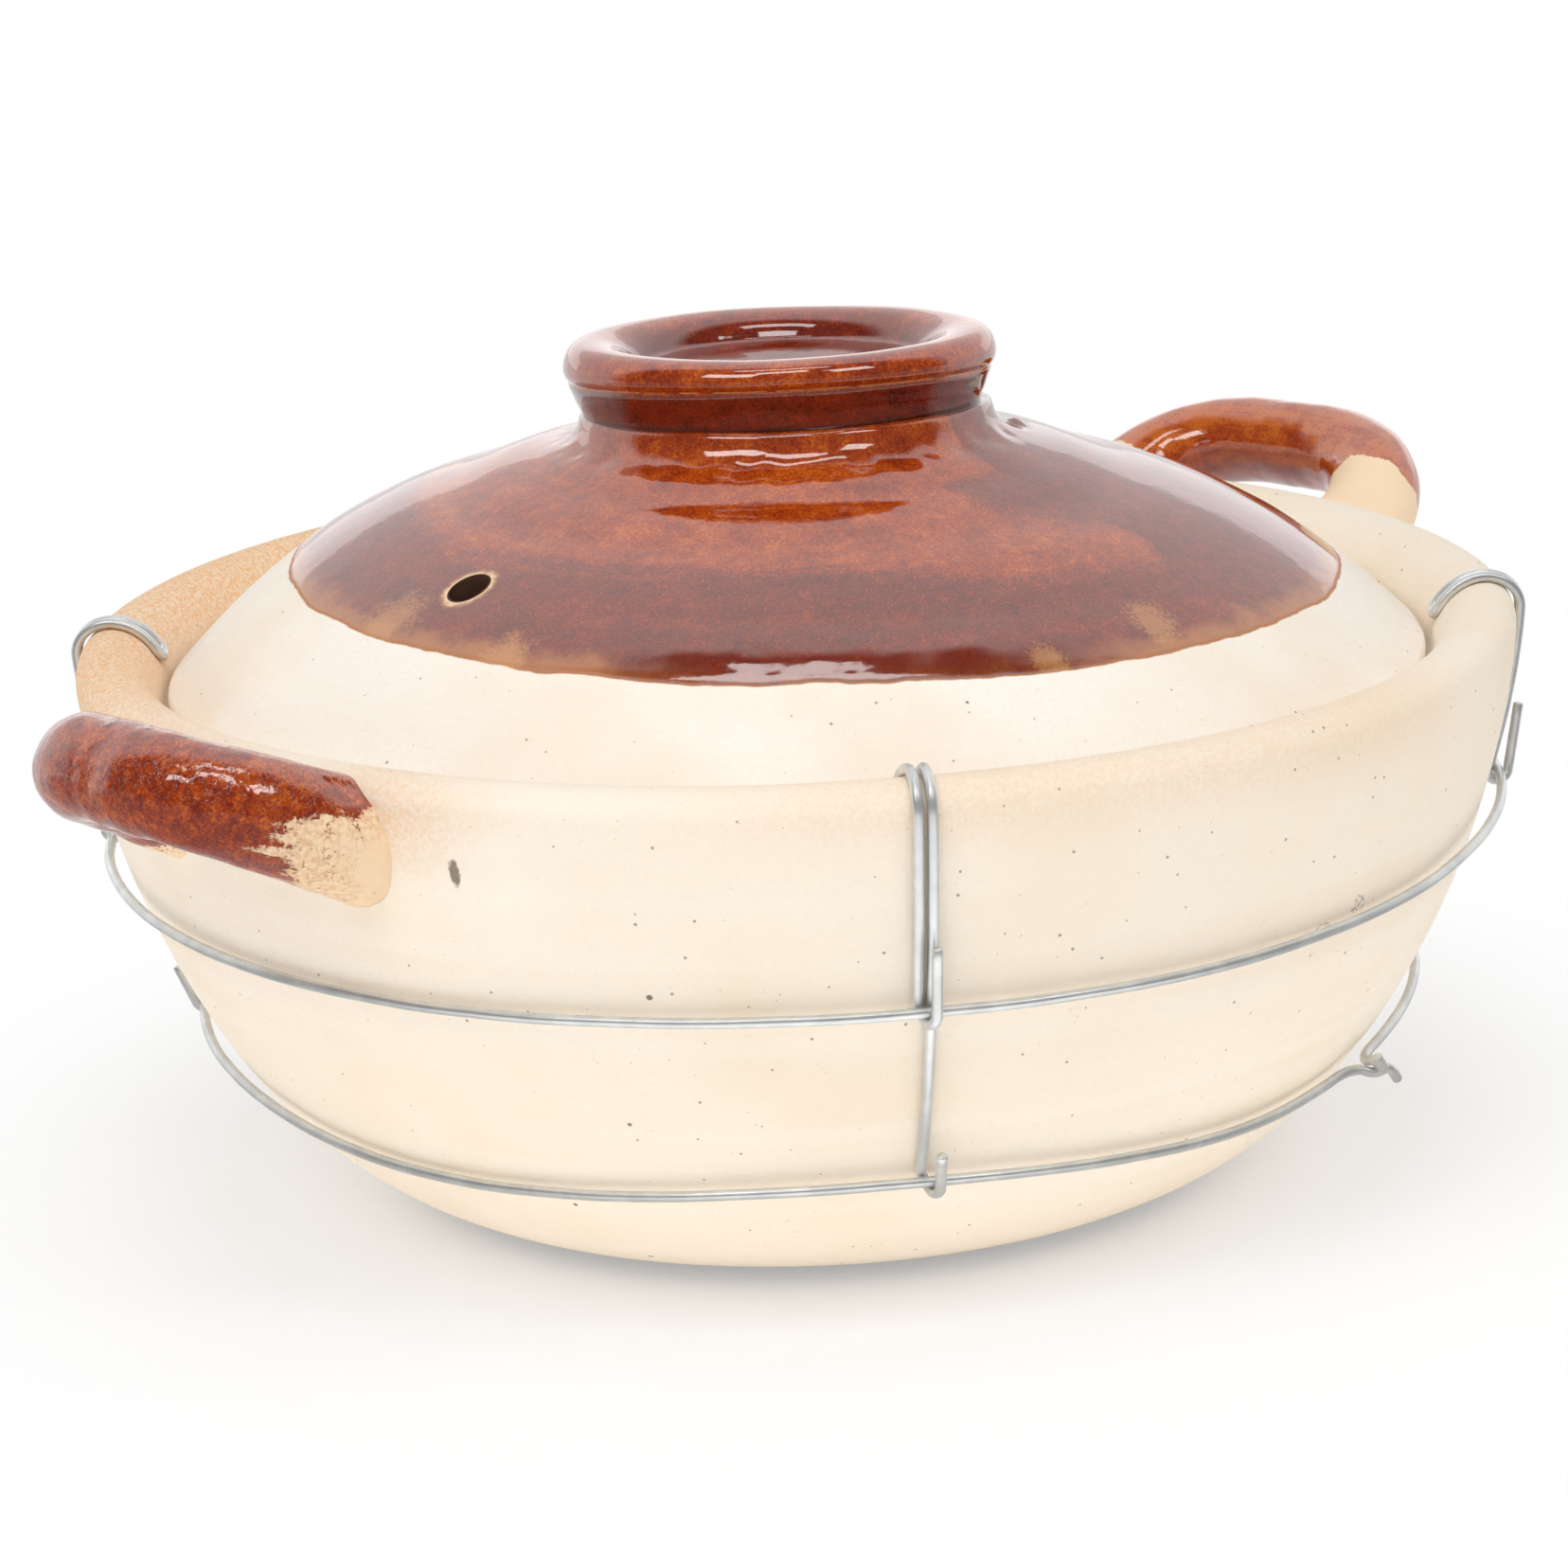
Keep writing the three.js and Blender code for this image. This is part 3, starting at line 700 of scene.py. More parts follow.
def make_hoop(name, stops, sag, pigtail_angle):
    """A hoop whose two ends meet, cross by half a turn and stand out as a short pigtail."""
    half = PIGTAIL_SPACING / 2
    root_r, root_z = hoop_point(pigtail_angle, stops, sag)
    gap = degrees((half + PIGTAIL_BEND) / root_r)
    ring = []
    for angle in steps(pigtail_angle + gap, pigtail_angle + 360 - gap, 480):
        r, z = hoop_point(angle, stops, sag)
        ring.append(around(angle, r, 0, z))

    def end(sign):
        points = []
        for t in steps(0, 1, 10):
            out = root_r + PIGTAIL_STAND + PIGTAIL_LENGTH * t
            side = sign * half * cos(pi * t)
            points.append(around(pigtail_angle, out, side, root_z + sign * half * sin(pi * t)))
        out = root_r + PIGTAIL_STAND + PIGTAIL_LENGTH + WIRE_GAP
        for t in steps(0, 1, 4)[1:]:
            splay = t * PIGTAIL_TAIL * sqrt(2)
            points.append(around(pigtail_angle, out, -sign * (half + splay), root_z + sign * splay))
        return points

    route = rounded([*reversed(end(1)), *ring, *end(-1)], 3)
    return make_wire(name + "_wire", route)


def rounded(points, passes):
    """Eases the bends of a wire's route. The ends stay."""
    for _ in range(passes):
        middle = [(a + b * 2 + c) / 4 for a, b, c in zip(points, points[1:], points[2:])]
        points = [points[0], *middle, points[-1]]
    return points


# Materials.


def srgb(*channels):
    """The linear colour of a screen colour with channels from 0 to 255."""
    shares = [c / 255 for c in channels]
    return (*(c / 12.92 if c <= 0.04045 else ((c + 0.055) / 1.055) ** 2.4 for c in shares), 1)


class Nodes:
    """The nodes of a material or a world."""

    def __init__(self, tree):
        self.nodes = tree.nodes
        self.links = tree.links

    def feed(self, socket, value):
        """Links a socket, or sets a plain value on it."""
        if isinstance(value, bpy.types.NodeSocket):
            self.links.new(value, socket)
        else:
            socket.default_value = value

    def node(self, kind, *values, **settings):
        """A new node with its settings and its first inputs."""
        node = self.nodes.new("ShaderNode" + kind)
        for name, setting in settings.items():
            setattr(node, name, setting)
        for socket, value in zip(node.inputs, values):
            self.feed(socket, value)
        return node

    def math(self, operation, a, b):
        return self.node("Math", a, b, operation=operation).outputs[0]

    def add(self, *values):
        return reduce(lambda a, b: self.math("ADD", a, b), values)

    def times(self, *values):
        return reduce(lambda a, b: self.math("MULTIPLY", a, b), values)

    def minus(self, a, b):
        return self.math("SUBTRACT", a, b)

    def flip(self, a):
        return self.math("SUBTRACT", 1, a)

    def most(self, a, b):
        return self.math("MAXIMUM", a, b)

    def vector(self, operation, a, b=(0, 0, 0)):
        node = self.node("VectorMath", a, b, operation=operation)
        return node.outputs["Value" if operation in ("LENGTH", "DOT_PRODUCT") else "Vector"]

    def split(self, a):
        return self.node("SeparateXYZ", a).outputs

    def join(self, x, y, z):
        return self.node("CombineXYZ", x, y, z).outputs[0]

    def ramp(self, value, low, high, to_low=0, to_high=1):
        """A smooth change between two numbers as value goes from low to high."""
        inputs = (value, low, high, to_low, to_high)
        return self.node("MapRange", *inputs, interpolation_type="SMOOTHSTEP").outputs[0]

    def band(self, value, low, high, soft):
        """One between low and high, with soft edges."""
        rise = self.ramp(value, low - soft, low + soft)
        fall = self.ramp(value, high - soft, high + soft, 1, 0)
        return self.times(rise, fall)

    def mix(self, factor, a, b):
        node = self.node("Mix", data_type="RGBA")
        self.feed(node.inputs["Factor"], factor)
        self.feed(node.inputs[6], a)
        self.feed(node.inputs[7], b)
        return node.outputs[2]


class Paint(Nodes):
    """A material with one Principled shader. Places are in millimetres in the piece's own space."""

    def __init__(self, name):
        self.material = bpy.data.materials.new(name)
        self.material.use_nodes = True
        super().__init__(self.material.node_tree)
        self.shader = self.nodes["Principled BSDF"]
        place = self.node("TexCoord").outputs["Object"]
        self.place = self.vector("MULTIPLY", place, (1 / MM, 1 / MM, 1 / MM))
        self.x, self.y, self.z = self.split(self.place)
        flat = self.join(self.x, self.y, 0)
        self.r = self.vector("LENGTH", flat)
        self.out = self.vector("NORMALIZE", flat)

    def put(self, name, value):
        """Feeds an input of the shader."""
        self.feed(self.shader.inputs[name], value)

    def noise(self, size, detail=2, roughness=0.5, place=None, seed=0):
        """Noise from 0 to 1 with lumps of about a size."""
        moved = self.vector("ADD", place or self.place, (seed * 13.7, seed * 7.1, seed * 3.3))
        return self.node("TexNoise", moved, 0, 1 / size, detail, roughness).outputs[0]

    def sway(self, amount, size, detail, roughness, seed):
        """Noise about zero, times an amount."""
        return self.times(self.minus(self.noise(size, detail, roughness, seed=seed), 0.5), amount)

    def cells(self, size, seed):
        """Distance to the nearest of scattered points, and a random number for each."""
        moved = self.vector("ADD", self.place, (seed * 17.3, seed * 5.9, seed * 11.1))
        outputs = self.node("TexVoronoi", moved, 0, 1 / size).outputs
        return outputs["Distance"], self.split(outputs["Color"])[0]

    def stretched(self, round_size, line):
        """A place for noise in long streaks round the axis: line runs across the streaks."""
        x, y, _ = self.split(self.out)
        turn = 100 / round_size
        return self.join(self.times(x, turn), self.times(y, turn), line)

    def toward(self, angle):
        """From -1 to 1: how much a place lies to that side of the axis."""
        a = radians(angle)
        return self.vector("DOT_PRODUCT", self.out, (cos(a), sin(a), 0))

    def attribute(self, name):
        return self.node("Attribute", attribute_name=name).outputs["Fac"]

    def finish(self, colour, roughness, height):
        """Joins colour, roughness and a relief in millimetres to the shader."""
        bump = self.node("Bump")
        bump.inputs["Distance"].default_value = MM
        self.feed(bump.inputs["Height"], height)
        self.put("Base Color", colour)
        self.put("Roughness", roughness)
        self.put("Normal", bump.outputs[0])
        return self.material


CREAM = srgb(248, 236, 219)
CREAM_WARM = srgb(244, 227, 203)
CREAM_PALE = srgb(251, 243, 230)
CREAM_LID = srgb(251, 244, 235)
TOAST = srgb(238, 188, 138)
PEACH = srgb(249, 216, 174)
SPECK = srgb(104, 86, 68)
RUBBED = srgb(128, 134, 140)
FRINGE = srgb(188, 118, 56)
TAN = srgb(205, 142, 78)
HONEY = srgb(196, 98, 26)
AMBER = srgb(166, 64, 12)
CHESTNUT = srgb(136, 44, 12)
MAROON = srgb(112, 32, 15)
BURNT = srgb(52, 14, 8)
CLAY_ROUGHNESS = 0.82
GLAZE_ROUGHNESS = 0.06
GLAZE_IOR = 2.05
CLAY_IOR = 1.35


def fired(p, colour, shiny, glazed, height):
    """The finish of a piece that is bare in part and glazed in part."""
    p.put("IOR", p.ramp(glazed, 0, 1, CLAY_IOR, GLAZE_IOR))
    return p.finish(colour, p.ramp(shiny, 0, 1, CLAY_ROUGHNESS, GLAZE_ROUGHNESS), height)


def specks(p, size, share, radius, seed):
    """Scattered dark grains: a share of the cells holds one."""
    distance, chance = p.cells(size, seed)
    held = p.ramp(chance, 1 - share, 1 - share + 0.02)
    grown = p.times(radius / size, p.ramp(chance, 1 - share, 1, 0.5, 1.3))
    dot = p.ramp(p.minus(distance, grown), -0.25 * radius / size, 0.25 * radius / size, 1, 0)
    return p.times(held, dot)


def clay(p, toast, across, cream=CREAM):
    """Bare clay: cream, with throwing bands, grog specks and toasted places. Gives colour and relief."""
    cloud = p.noise(38, 3, seed=1)
    colour = p.mix(p.ramp(cloud, 0.4, 0.72, 0, 0.6), cream, CREAM_WARM)
    rings = p.noise(1, 2, place=p.stretched(160, p.times(across, 0.16)), seed=2)
    colour = p.mix(p.ramp(rings, 0.45, 0.7, 0, 0.35), colour, CREAM_PALE)
    grain = p.noise(0.9, 3, 0.6, seed=3)
    colour = p.mix(p.ramp(grain, 0.3, 0.62, 0.25, 0), colour, CREAM_WARM)
    dots = p.ramp(p.noise(0.8, 3, 0.7, seed=4), 0.38, 0.62)
    toasted = p.times(toast, p.add(0.35, p.times(0.65, dots)))
    colour = p.mix(toasted, colour, TOAST)
    large = specks(p, 5.5, 0.16, 0.4, 5)
    small = specks(p, 2.6, 0.25, 0.22, 6)
    fine = specks(p, 1.5, 0.3, 0.1, 7)
    dark = p.most(large, p.most(p.times(small, 0.75), p.times(fine, 0.5)))
    colour = p.mix(p.times(dark, 0.85), colour, SPECK)
    drag = p.noise(1, 2, place=p.stretched(30, p.times(across, 1.4)), seed=8)
    relief = p.add(p.times(grain, 0.05), p.times(drag, 0.05), p.times(dark, -0.08))
    return colour, relief


def glaze(p, depth, streak, seed, contrast=1.7):
    """Brown glaze: amber where thin, maroon where it pools, speckled. Gives colour and relief."""
    speckle = p.sway(contrast, 0.55, 3, 0.75, seed)
    mottle = p.sway(contrast * 0.55, 2.6, 3, 0.6, seed + 3)
    cloud = p.sway(0.9, 9, 3, 0.55, seed + 1)
    tone = p.add(depth, speckle, mottle, cloud, p.times(p.minus(streak, 0.5), 0.6))
    colour = p.mix(p.ramp(tone, -0.3, 0.1), HONEY, AMBER)
    colour = p.mix(p.ramp(tone, 0.1, 0.5), colour, CHESTNUT)
    colour = p.mix(p.ramp(tone, 0.4, 0.9), colour, MAROON)
    colour = p.mix(p.ramp(tone, 0.9, 1.5), colour, BURNT)
    relief = p.add(p.times(p.noise(5, 2, seed=seed + 2), 0.05), p.times(streak, 0.02))
    return colour, relief


def wall_mark(p, angle, z, width, height, seed, soft=0.3):
    """A mark on the pot's wall of about a width and height, with an uneven edge."""
    off_x, off_y, off_z = p.split(p.vector("SUBTRACT", p.place, tuple(around(angle, wall_radius(z), 0, z))))
    off = p.join(p.times(off_x, 2 / width), p.times(off_y, 2 / width), p.times(off_z, 2 / height))
    uneven = p.sway(1.2, width / 2, 3, 0.6, seed)
    return p.ramp(p.add(p.vector("LENGTH", off), uneven), 1 - soft, 1 + soft, 1, 0)


def pot_finish():
    p = Paint("bare_clay_pot")
    lip = p.ramp(p.z, POT_HEIGHT - 15, POT_HEIGHT - 3)
    back_left = p.ramp(p.toward(114), 0.3, 0.9)
    front_right = p.times(p.ramp(p.toward(250), 0.75, 0.98), 0.3)
    by_root = p.times(wall_mark(p, 193, 95, 24, 18, 81, 1), 0.55)
    toast = p.most(p.times(lip, p.most(back_left, front_right)), by_root)
    colour, relief = clay(p, toast, p.z)
    colour = p.mix(p.times(wall_mark(p, 201.5, 83, 18, 18, 82, 0.6), 0.5), colour, CREAM_PALE)
    gouge = wall_mark(p, 198, 85.8, 1.6, 4.6, 83)
    colour = p.mix(p.times(gouge, 0.8), colour, SPECK)
    rub = p.most(wall_mark(p, 272.2, 64.3, 3.4, 3.4, 84), wall_mark(p, 268, 62.3, 4, 1.6, 85))
    rub = p.times(rub, p.ramp(p.noise(0.8, 2, seed=86), 0.45, 0.6))
    colour = p.mix(p.times(rub, 0.7), colour, RUBBED)
    bowl = p.times(p.attribute("inside"), p.ramp(p.z, LEDGE_TOP - 9, LEDGE_TOP - 7, 1, 0))
    streak = p.noise(1, 3, place=p.stretched(70, p.times(p.z, 0.35)), seed=9)
    brown, brown_relief = glaze(p, 0.6, streak, 61)
    colour = p.mix(bowl, colour, brown)
    relief = p.add(p.times(bowl, brown_relief), p.times(p.flip(bowl), relief), p.times(gouge, -0.5))
    return fired(p, colour, bowl, bowl, relief)


def spot(p, angle, distance, size):
    """A spot on the lid of about a size, with an uneven edge."""
    centre = around(angle, distance, 0, 0)
    off = p.vector("SUBTRACT", p.join(p.x, p.y, 0), tuple(centre))
    uneven = p.sway(1.3, 3.5, 3, 0.6, 71)
    grains = p.sway(2, 0.6, 2, 0.7, 72)
    reach = p.add(p.times(p.vector("LENGTH", off), 1 / size), uneven, grains)
    return p.ramp(reach, 0.3, 1.2, 1, 0)


# The brush stroke round the knob. Its turns are in radians from an angle. It has a rounded tip.
STROKE_FROM = 223.75
STROKE_WIDENS = 0.1
STROKE_WIDE = 0.6
STROKE_LIFTS = 0.36
STROKE_ENDS = 0.96
STROKE_OUTER = 66
STROKE_OUTER_WIDE = 75
STROKE_INNER = 38
STROKE_INNER_END = 66
STROKE_TIP_RADIUS = 71.5
STROKE_TIP_HALF = 7.5
# Thin tan places along the edge: angle, radius and size.
TAN_PLACES = ((172, 85, 6), (191, 88.5, 5), (265, 89, 4.5), (250, 92, 3.5), (330, 95, 4))


def lid_finish():
    p = Paint("brown_glaze_lid")
    clay_colour, clay_relief = clay(p, 0, p.r, CREAM_LID)
    edge = p.add(GLAZE_RADIUS, p.times(GLAZE_OFF_CENTRE, p.toward(GLAZE_FAR_SIDE)))
    waver = p.add(p.times(p.noise(16, 2, seed=11), 2), p.times(p.noise(2.5, 2, seed=12), 0.4), -1.2)
    inside = p.add(p.minus(edge, p.r), waver)
    top = p.ramp(p.z, LID_BOTTOM + 1, LID_BOTTOM + 3)
    covered = p.times(p.ramp(inside, -0.15, 0.15), top)
    streak = p.noise(1, 3, place=p.stretched(80, p.times(p.r, 0.3)), seed=13)
    dither = p.add(p.sway(14, 0.5, 2, 0.7, 18), p.times(p.minus(streak, 0.5), 6))
    turn = p.math("ARCTAN2", p.toward(STROKE_FROM + 90), p.toward(STROKE_FROM))
    spread_r = p.add(p.r, dither)
    outer_edge = p.ramp(turn, STROKE_WIDENS, STROKE_WIDE, STROKE_OUTER, STROKE_OUTER_WIDE)
    outer_edge = p.add(outer_edge, p.ramp(turn, 0.5, STROKE_ENDS, 0, 3))
    inner_edge = p.ramp(turn, STROKE_LIFTS, STROKE_ENDS, STROKE_INNER, STROKE_INNER_END)
    from_tip = p.times(p.minus(p.r, STROKE_TIP_RADIUS), 1 / STROKE_TIP_HALF)
    rounding = p.math("MINIMUM", p.math("POWER", from_tip, 2), 1.5)
    end = p.ramp(p.add(turn, p.times(rounding, 0.05)), STROKE_ENDS - 0.01, STROKE_ENDS + 0.015, 1, 0)
    inner = p.most(p.ramp(p.minus(spread_r, inner_edge), -5, 5), p.ramp(p.r, 44, 49, 1, 0))
    outer = p.ramp(p.minus(spread_r, outer_edge), -2.5, 4, 1, 0)
    begin = p.ramp(turn, -3, -1.9)
    stroke = p.times(inner, outer, end, begin)
    depth = p.ramp(stroke, 0, 1, 0.74, 0.18)
    colour, relief = glaze(p, depth, streak, 14, 2.1)
    grains = p.ramp(p.noise(0.45, 2, 0.7, seed=19), 0.56, 0.7)
    colour = p.mix(p.times(grains, 0.5), colour, HONEY)
    run = p.ramp(p.toward(BEAD_MIDDLE), 0.86, 0.95)
    reach = p.add(inside, p.sway(7, 5, 3, 0.6, 16))
    thin = p.times(p.ramp(reach, 0.5, 5, 0.75, 0), p.flip(p.times(run, 0.7)))
    colour = p.mix(thin, colour, FRINGE)
    pooled = p.times(run, p.band(reach, 0.8, 5, 1.2))
    colour = p.mix(p.times(pooled, 0.6), colour, MAROON)
    rim = p.band(inside, -0.3, 0.35, 0.15)
    colour = p.mix(p.times(rim, 0.6), colour, FRINGE)
    for angle, distance, size in TAN_PLACES:
        colour = p.mix(p.times(spot(p, angle, distance, size), 0.55), colour, TAN)
    vent = p.vector("SUBTRACT", p.join(p.x, p.y, 0), tuple(around(VENT_ANGLE, VENT_DISTANCE, 0, 0)))
    from_vent = p.add(p.vector("LENGTH", vent), p.sway(2.2, 1.5, 3, 0.6, 15))
    worn = p.times(p.ramp(from_vent, VENT_RADIUS + 0.5, VENT_RADIUS + 2, 1, 0), covered)
    colour = p.mix(p.times(worn, 0.8), colour, TAN)
    pale = p.ramp(from_vent, VENT_RADIUS + 0.3, VENT_RADIUS + 1.2, 1, 0)
    colour = p.mix(p.times(pale, covered, 0.7), colour, PEACH)
    # The vent's bore is painted near-black and matte: its dark glaze, with painted shade in the hole.
    bore_glaze_and_shade = p.ramp(p.vector("LENGTH", vent), VENT_RADIUS + 0.2, VENT_RADIUS + 0.3, 1, 0)
    colour = p.mix(covered, clay_colour, colour)
    colour = p.mix(p.times(bore_glaze_and_shade, 0.95), colour, BURNT)
    shiny = p.times(p.ramp(inside, -0.3, 1.2), top, p.flip(bore_glaze_and_shade))
    height = p.add(p.times(covered, relief), p.times(p.flip(covered), clay_relief))
    return fired(p, colour, shiny, p.times(covered, p.flip(bore_glaze_and_shade)), height)


def knob_finish():
    p = Paint("brown_glaze_knob")
    streak = p.noise(1, 3, place=p.stretched(60, p.times(p.z, 0.5)), seed=21)
    high = p.times(p.r, p.toward(KNOB_HIGH_SIDE))
    level = p.minus(p.add(p.z, SEAM_SINK), p.times(high, tan(radians(SEAM_LEAN))))
    outer_side = p.ramp(p.r, 32, 34)
    neck = p.times(p.ramp(level, KNOB_SEAM - 1, KNOB_SEAM, 0.75, 0), outer_side)
    dish = p.ramp(p.r, 26, 31, 0.75, 0.25)
    colour, relief = glaze(p, p.add(dish, neck), streak, 22, 2.4)
    seam = p.times(p.band(level, KNOB_SEAM - 0.05, KNOB_SEAM + 0.2, 0.08), outer_side)
    worn = p.times(seam, p.ramp(p.noise(4, 2, seed=25), 0.35, 0.55))
    colour = p.mix(p.times(worn, 0.9), colour, TAN)
    # The foot of the neck is painted near-black along its joint with the lid: painted shade in the joint's
    # crease.
    joint = p.times(high, tan(radians(JOINT_LEAN)))
    above = p.minus(p.add(p.z, JOINT_SINK - KNOB_BOTTOM), joint)
    colour = p.mix(p.times(p.ramp(above, 0, 1, 0.8, 0), outer_side), colour, BURNT)
    p.put("IOR", GLAZE_IOR)
    return p.finish(colour, GLAZE_ROUGHNESS, relief)


def handle_finish(name, seed, bare_from, bare_to, bare_colour, mottled, outer_reach, upper_reach):
    """Glaze on the middle of a handle. The ends are bare. The glaze can reach further on the outer or the
    upper side, and on a mottled handle dark crackle runs over its end."""
    p = Paint(name)
    clay_colour, clay_relief = clay(p, 0, p.z)
    clay_colour = p.mix(0.7, clay_colour, bare_colour)
    along = p.attribute("along")
    plain = 1 - mottled
    waver = p.sway(0.13 + 0.15 * mottled, 5, 4, 0.7, seed)
    upper = p.attribute("upper")
    on_roll = p.join(p.times(along, 2.5), p.times(upper, 5), 0)
    long_streak = p.noise(1, 3, 0.6, place=on_roll, seed=seed + 6)
    dither = p.sway(upper_reach * 0.5, 0.8, 3, 0.7, seed + 4)
    waver = p.add(waver, dither, p.times(p.minus(long_streak, 0.5), upper_reach * 0.6))
    outer = p.times(p.minus(p.r, HANDLE_MIDDLE_RADIUS), outer_reach)
    further = p.ramp(upper, 0, 0.9, 0, upper_reach)
    further = p.add(further, p.ramp(upper, -0.9, -0.4, upper_reach / 3, 0))
    first = p.ramp(p.add(along, waver, outer), bare_from - 0.006, bare_from + 0.006)
    from_end = p.minus(p.add(along, waver), p.add(outer, further))
    soft = 0.006 + 0.03 * mottled
    second = p.ramp(from_end, bare_to - soft, bare_to + soft, 1, 0)
    covered = p.times(first, second)
    fine = p.join(p.times(along, 2.2), p.times(p.z, 0.4), p.times(p.r, 0.4))
    lengthwise = p.noise(1, 3, 0.6, place=fine, seed=seed + 1)
    patches = p.noise(2.4, 4, 0.7, seed=seed + 5)
    streak = p.add(p.times(lengthwise, 2.2 * plain), p.times(patches, mottled), -0.6 * plain)
    # The glaze is painted lighter on the roll's upper side and darker on its lower side: painted shade.
    painted_shade = p.ramp(upper, -0.7, 0.8, 0.35 * plain, -0.35 * plain)
    depth = p.add(0.12 + 0.2 * mottled, painted_shade, p.times(p.minus(patches, 0.5), 1.6 * mottled))
    colour, relief = glaze(p, depth, streak, seed + 2, 1.4 + 1.2 * mottled)
    winding = p.math("ABSOLUTE", p.minus(p.noise(1.7, 2, 0.6, seed=seed + 8), 0.5), 0)
    lines = p.times(p.ramp(winding, 0.004, 0.03, 1, 0), mottled)
    near_end = p.band(from_end, bare_to, bare_to + 0.22, 0.08)
    stain = p.times(near_end, p.ramp(p.noise(1.1, 3, 0.6, seed=seed + 9), 0.4, 0.62), mottled)
    clay_colour = p.mix(p.times(stain, 0.5), clay_colour, TAN)
    broken = p.ramp(p.noise(2.2, 2, seed=seed + 10), 0.48, 0.62)
    clay_colour = p.mix(p.times(lines, near_end, broken), clay_colour, CHESTNUT)
    colour = p.mix(p.times(lines, 0.35), colour, BURNT)
    colour = p.mix(covered, clay_colour, colour)
    shiny = p.most(covered, p.times(near_end, mottled * 0.7))
    height = p.add(p.times(covered, relief), p.times(p.flip(covered), clay_relief), p.times(lines, -0.03))
    height = p.add(height, p.times(p.noise(3.2, 2, seed=seed + 7), 0.25 * mottled))
    return fired(p, colour, shiny, covered, height)


def wire_finish():
    p = Paint("galvanised_wire")
    p.put("Metallic", 0.8)
    spangle = p.noise(5, 2, 0.5, seed=31)
    colour = p.mix(p.ramp(spangle, 0.35, 0.7), srgb(212, 214, 213), srgb(228, 229, 227))
    roughness = p.ramp(p.noise(6, 2, seed=32), 0.3, 0.7, 0.36, 0.42)
    return p.finish(colour, roughness, p.times(p.noise(2.2, 2, seed=33), 0.004))


# Studio.


def set_camera():
    """Places the camera by the photograph: the rim's centre falls on its pixel, with the picture's roll.
    Gives the level direction to the viewer."""
    azimuth = radians(VIEW_AZIMUTH)
    elevation = radians(VIEW_ELEVATION)
    level = Vector((sin(azimuth), -cos(azimuth), 0))
    away = level * cos(elevation) + Vector((0, 0, sin(elevation)))
    across = (RIM_PIXEL_X - IMAGE_SIDE / 2) / FOCAL_PIXELS
    above = (IMAGE_SIDE / 2 - RIM_PIXEL_Y) / FOCAL_PIXELS
    facing = away.to_track_quat("Z", "Y").to_matrix()
    roll = Matrix.Rotation(radians(VIEW_ROLL), 3, "Z")
    pitch = Matrix.Rotation(-atan2(above, hypot(1, across)), 3, "X")
    yaw = Matrix.Rotation(atan2(across, 1), 3, "Y")
    place = Vector((0, 0, POT_HEIGHT)) + away * VIEW_DISTANCE
    data = bpy.data.cameras.new("view")
    data.sensor_fit = "HORIZONTAL"
    data.sensor_width = SENSOR_WIDTH
    data.lens = SENSOR_WIDTH * FOCAL_PIXELS / IMAGE_SIDE
    data.clip_start = 0.01
    camera = bpy.data.objects.new("view", data)
    camera.matrix_world = Matrix.Translation(place * MM) @ (facing @ roll @ pitch @ yaw).to_4x4()
    scene.collection.objects.link(camera)
    scene.camera = camera
    return level


AMBIENT = 0.46
CEILING = 0.08
FRONT_FLOOR = 0.25
FRONT_FLOOR_FROM = -0.25
FRONT_FLOOR_TO = 0.15
FLOOR_HALF = 3
SHADOW_NEAR = 0.06
SHADOW_FAR = 0.21
SHADOW_FADE = 0.35
TABLE_LIGHT_SIDE = 0.9
TABLE_LIGHT_HEIGHT = 0.003
CARD_BEFORE = 0.36
CARD_WIDTH = 0.5
CARD_DEPTH = 0.46
CARD_HEIGHT = 0.004
DOWN = Vector((0, 0, -1))
# Lamps that face the pot: azimuth from the viewer, elevation, distance, width and height in metres,
# radiance, and whether shiny surfaces mirror them.
LAMPS = {
    "left_box": (-34, 45, 1.3, 0.55, 0.36, 4.2, True),
    "right_box": (46, 45, 1.3, 0.45, 0.34, 3.9, True),
    "over_box": (2, 58, 1.2, 0.5, 0.24, 3.8, True),
    "top_box": (0, 80, 1.2, 0.7, 0.16, 3.2, True),
    "over_fill": (0, 80, 1.6, 1.2, 1, 1.2, False),
    "left_fill": (-66, 4, 1.6, 1.5, 0.4, 1.5, False),
    "right_fill": (48, 4, 1.6, 1.5, 0.4, 0.6, False),
    "back_wall": (180, 8, 2, 3.4, 0.55, 0.45, True),
}


def set_world(away):
    """A white studio. Shiny surfaces see a white wall behind the pot, and a dim ceiling and front."""
    world = bpy.data.worlds.new("studio")
    world.use_nodes = True
    scene.world = world
    n = Nodes(world.node_tree)
    background = n.nodes["Background"]
    background.inputs["Color"].default_value = (1, 1, 1, 1)
    path = n.node("LightPath").outputs
    direction = n.node("TexCoord").outputs["Generated"]
    dim = n.ramp(n.vector("DOT_PRODUCT", direction, away), -0.3, 0, 1, CEILING)
    seen = n.most(path["Is Camera Ray"], path["Is Transmission Ray"])
    shiny = n.times(path["Is Glossy Ray"], dim)
    rest = n.times(n.flip(n.most(seen, path["Is Glossy Ray"])), AMBIENT)
    n.feed(background.inputs["Strength"], n.add(n.most(seen, shiny), rest))


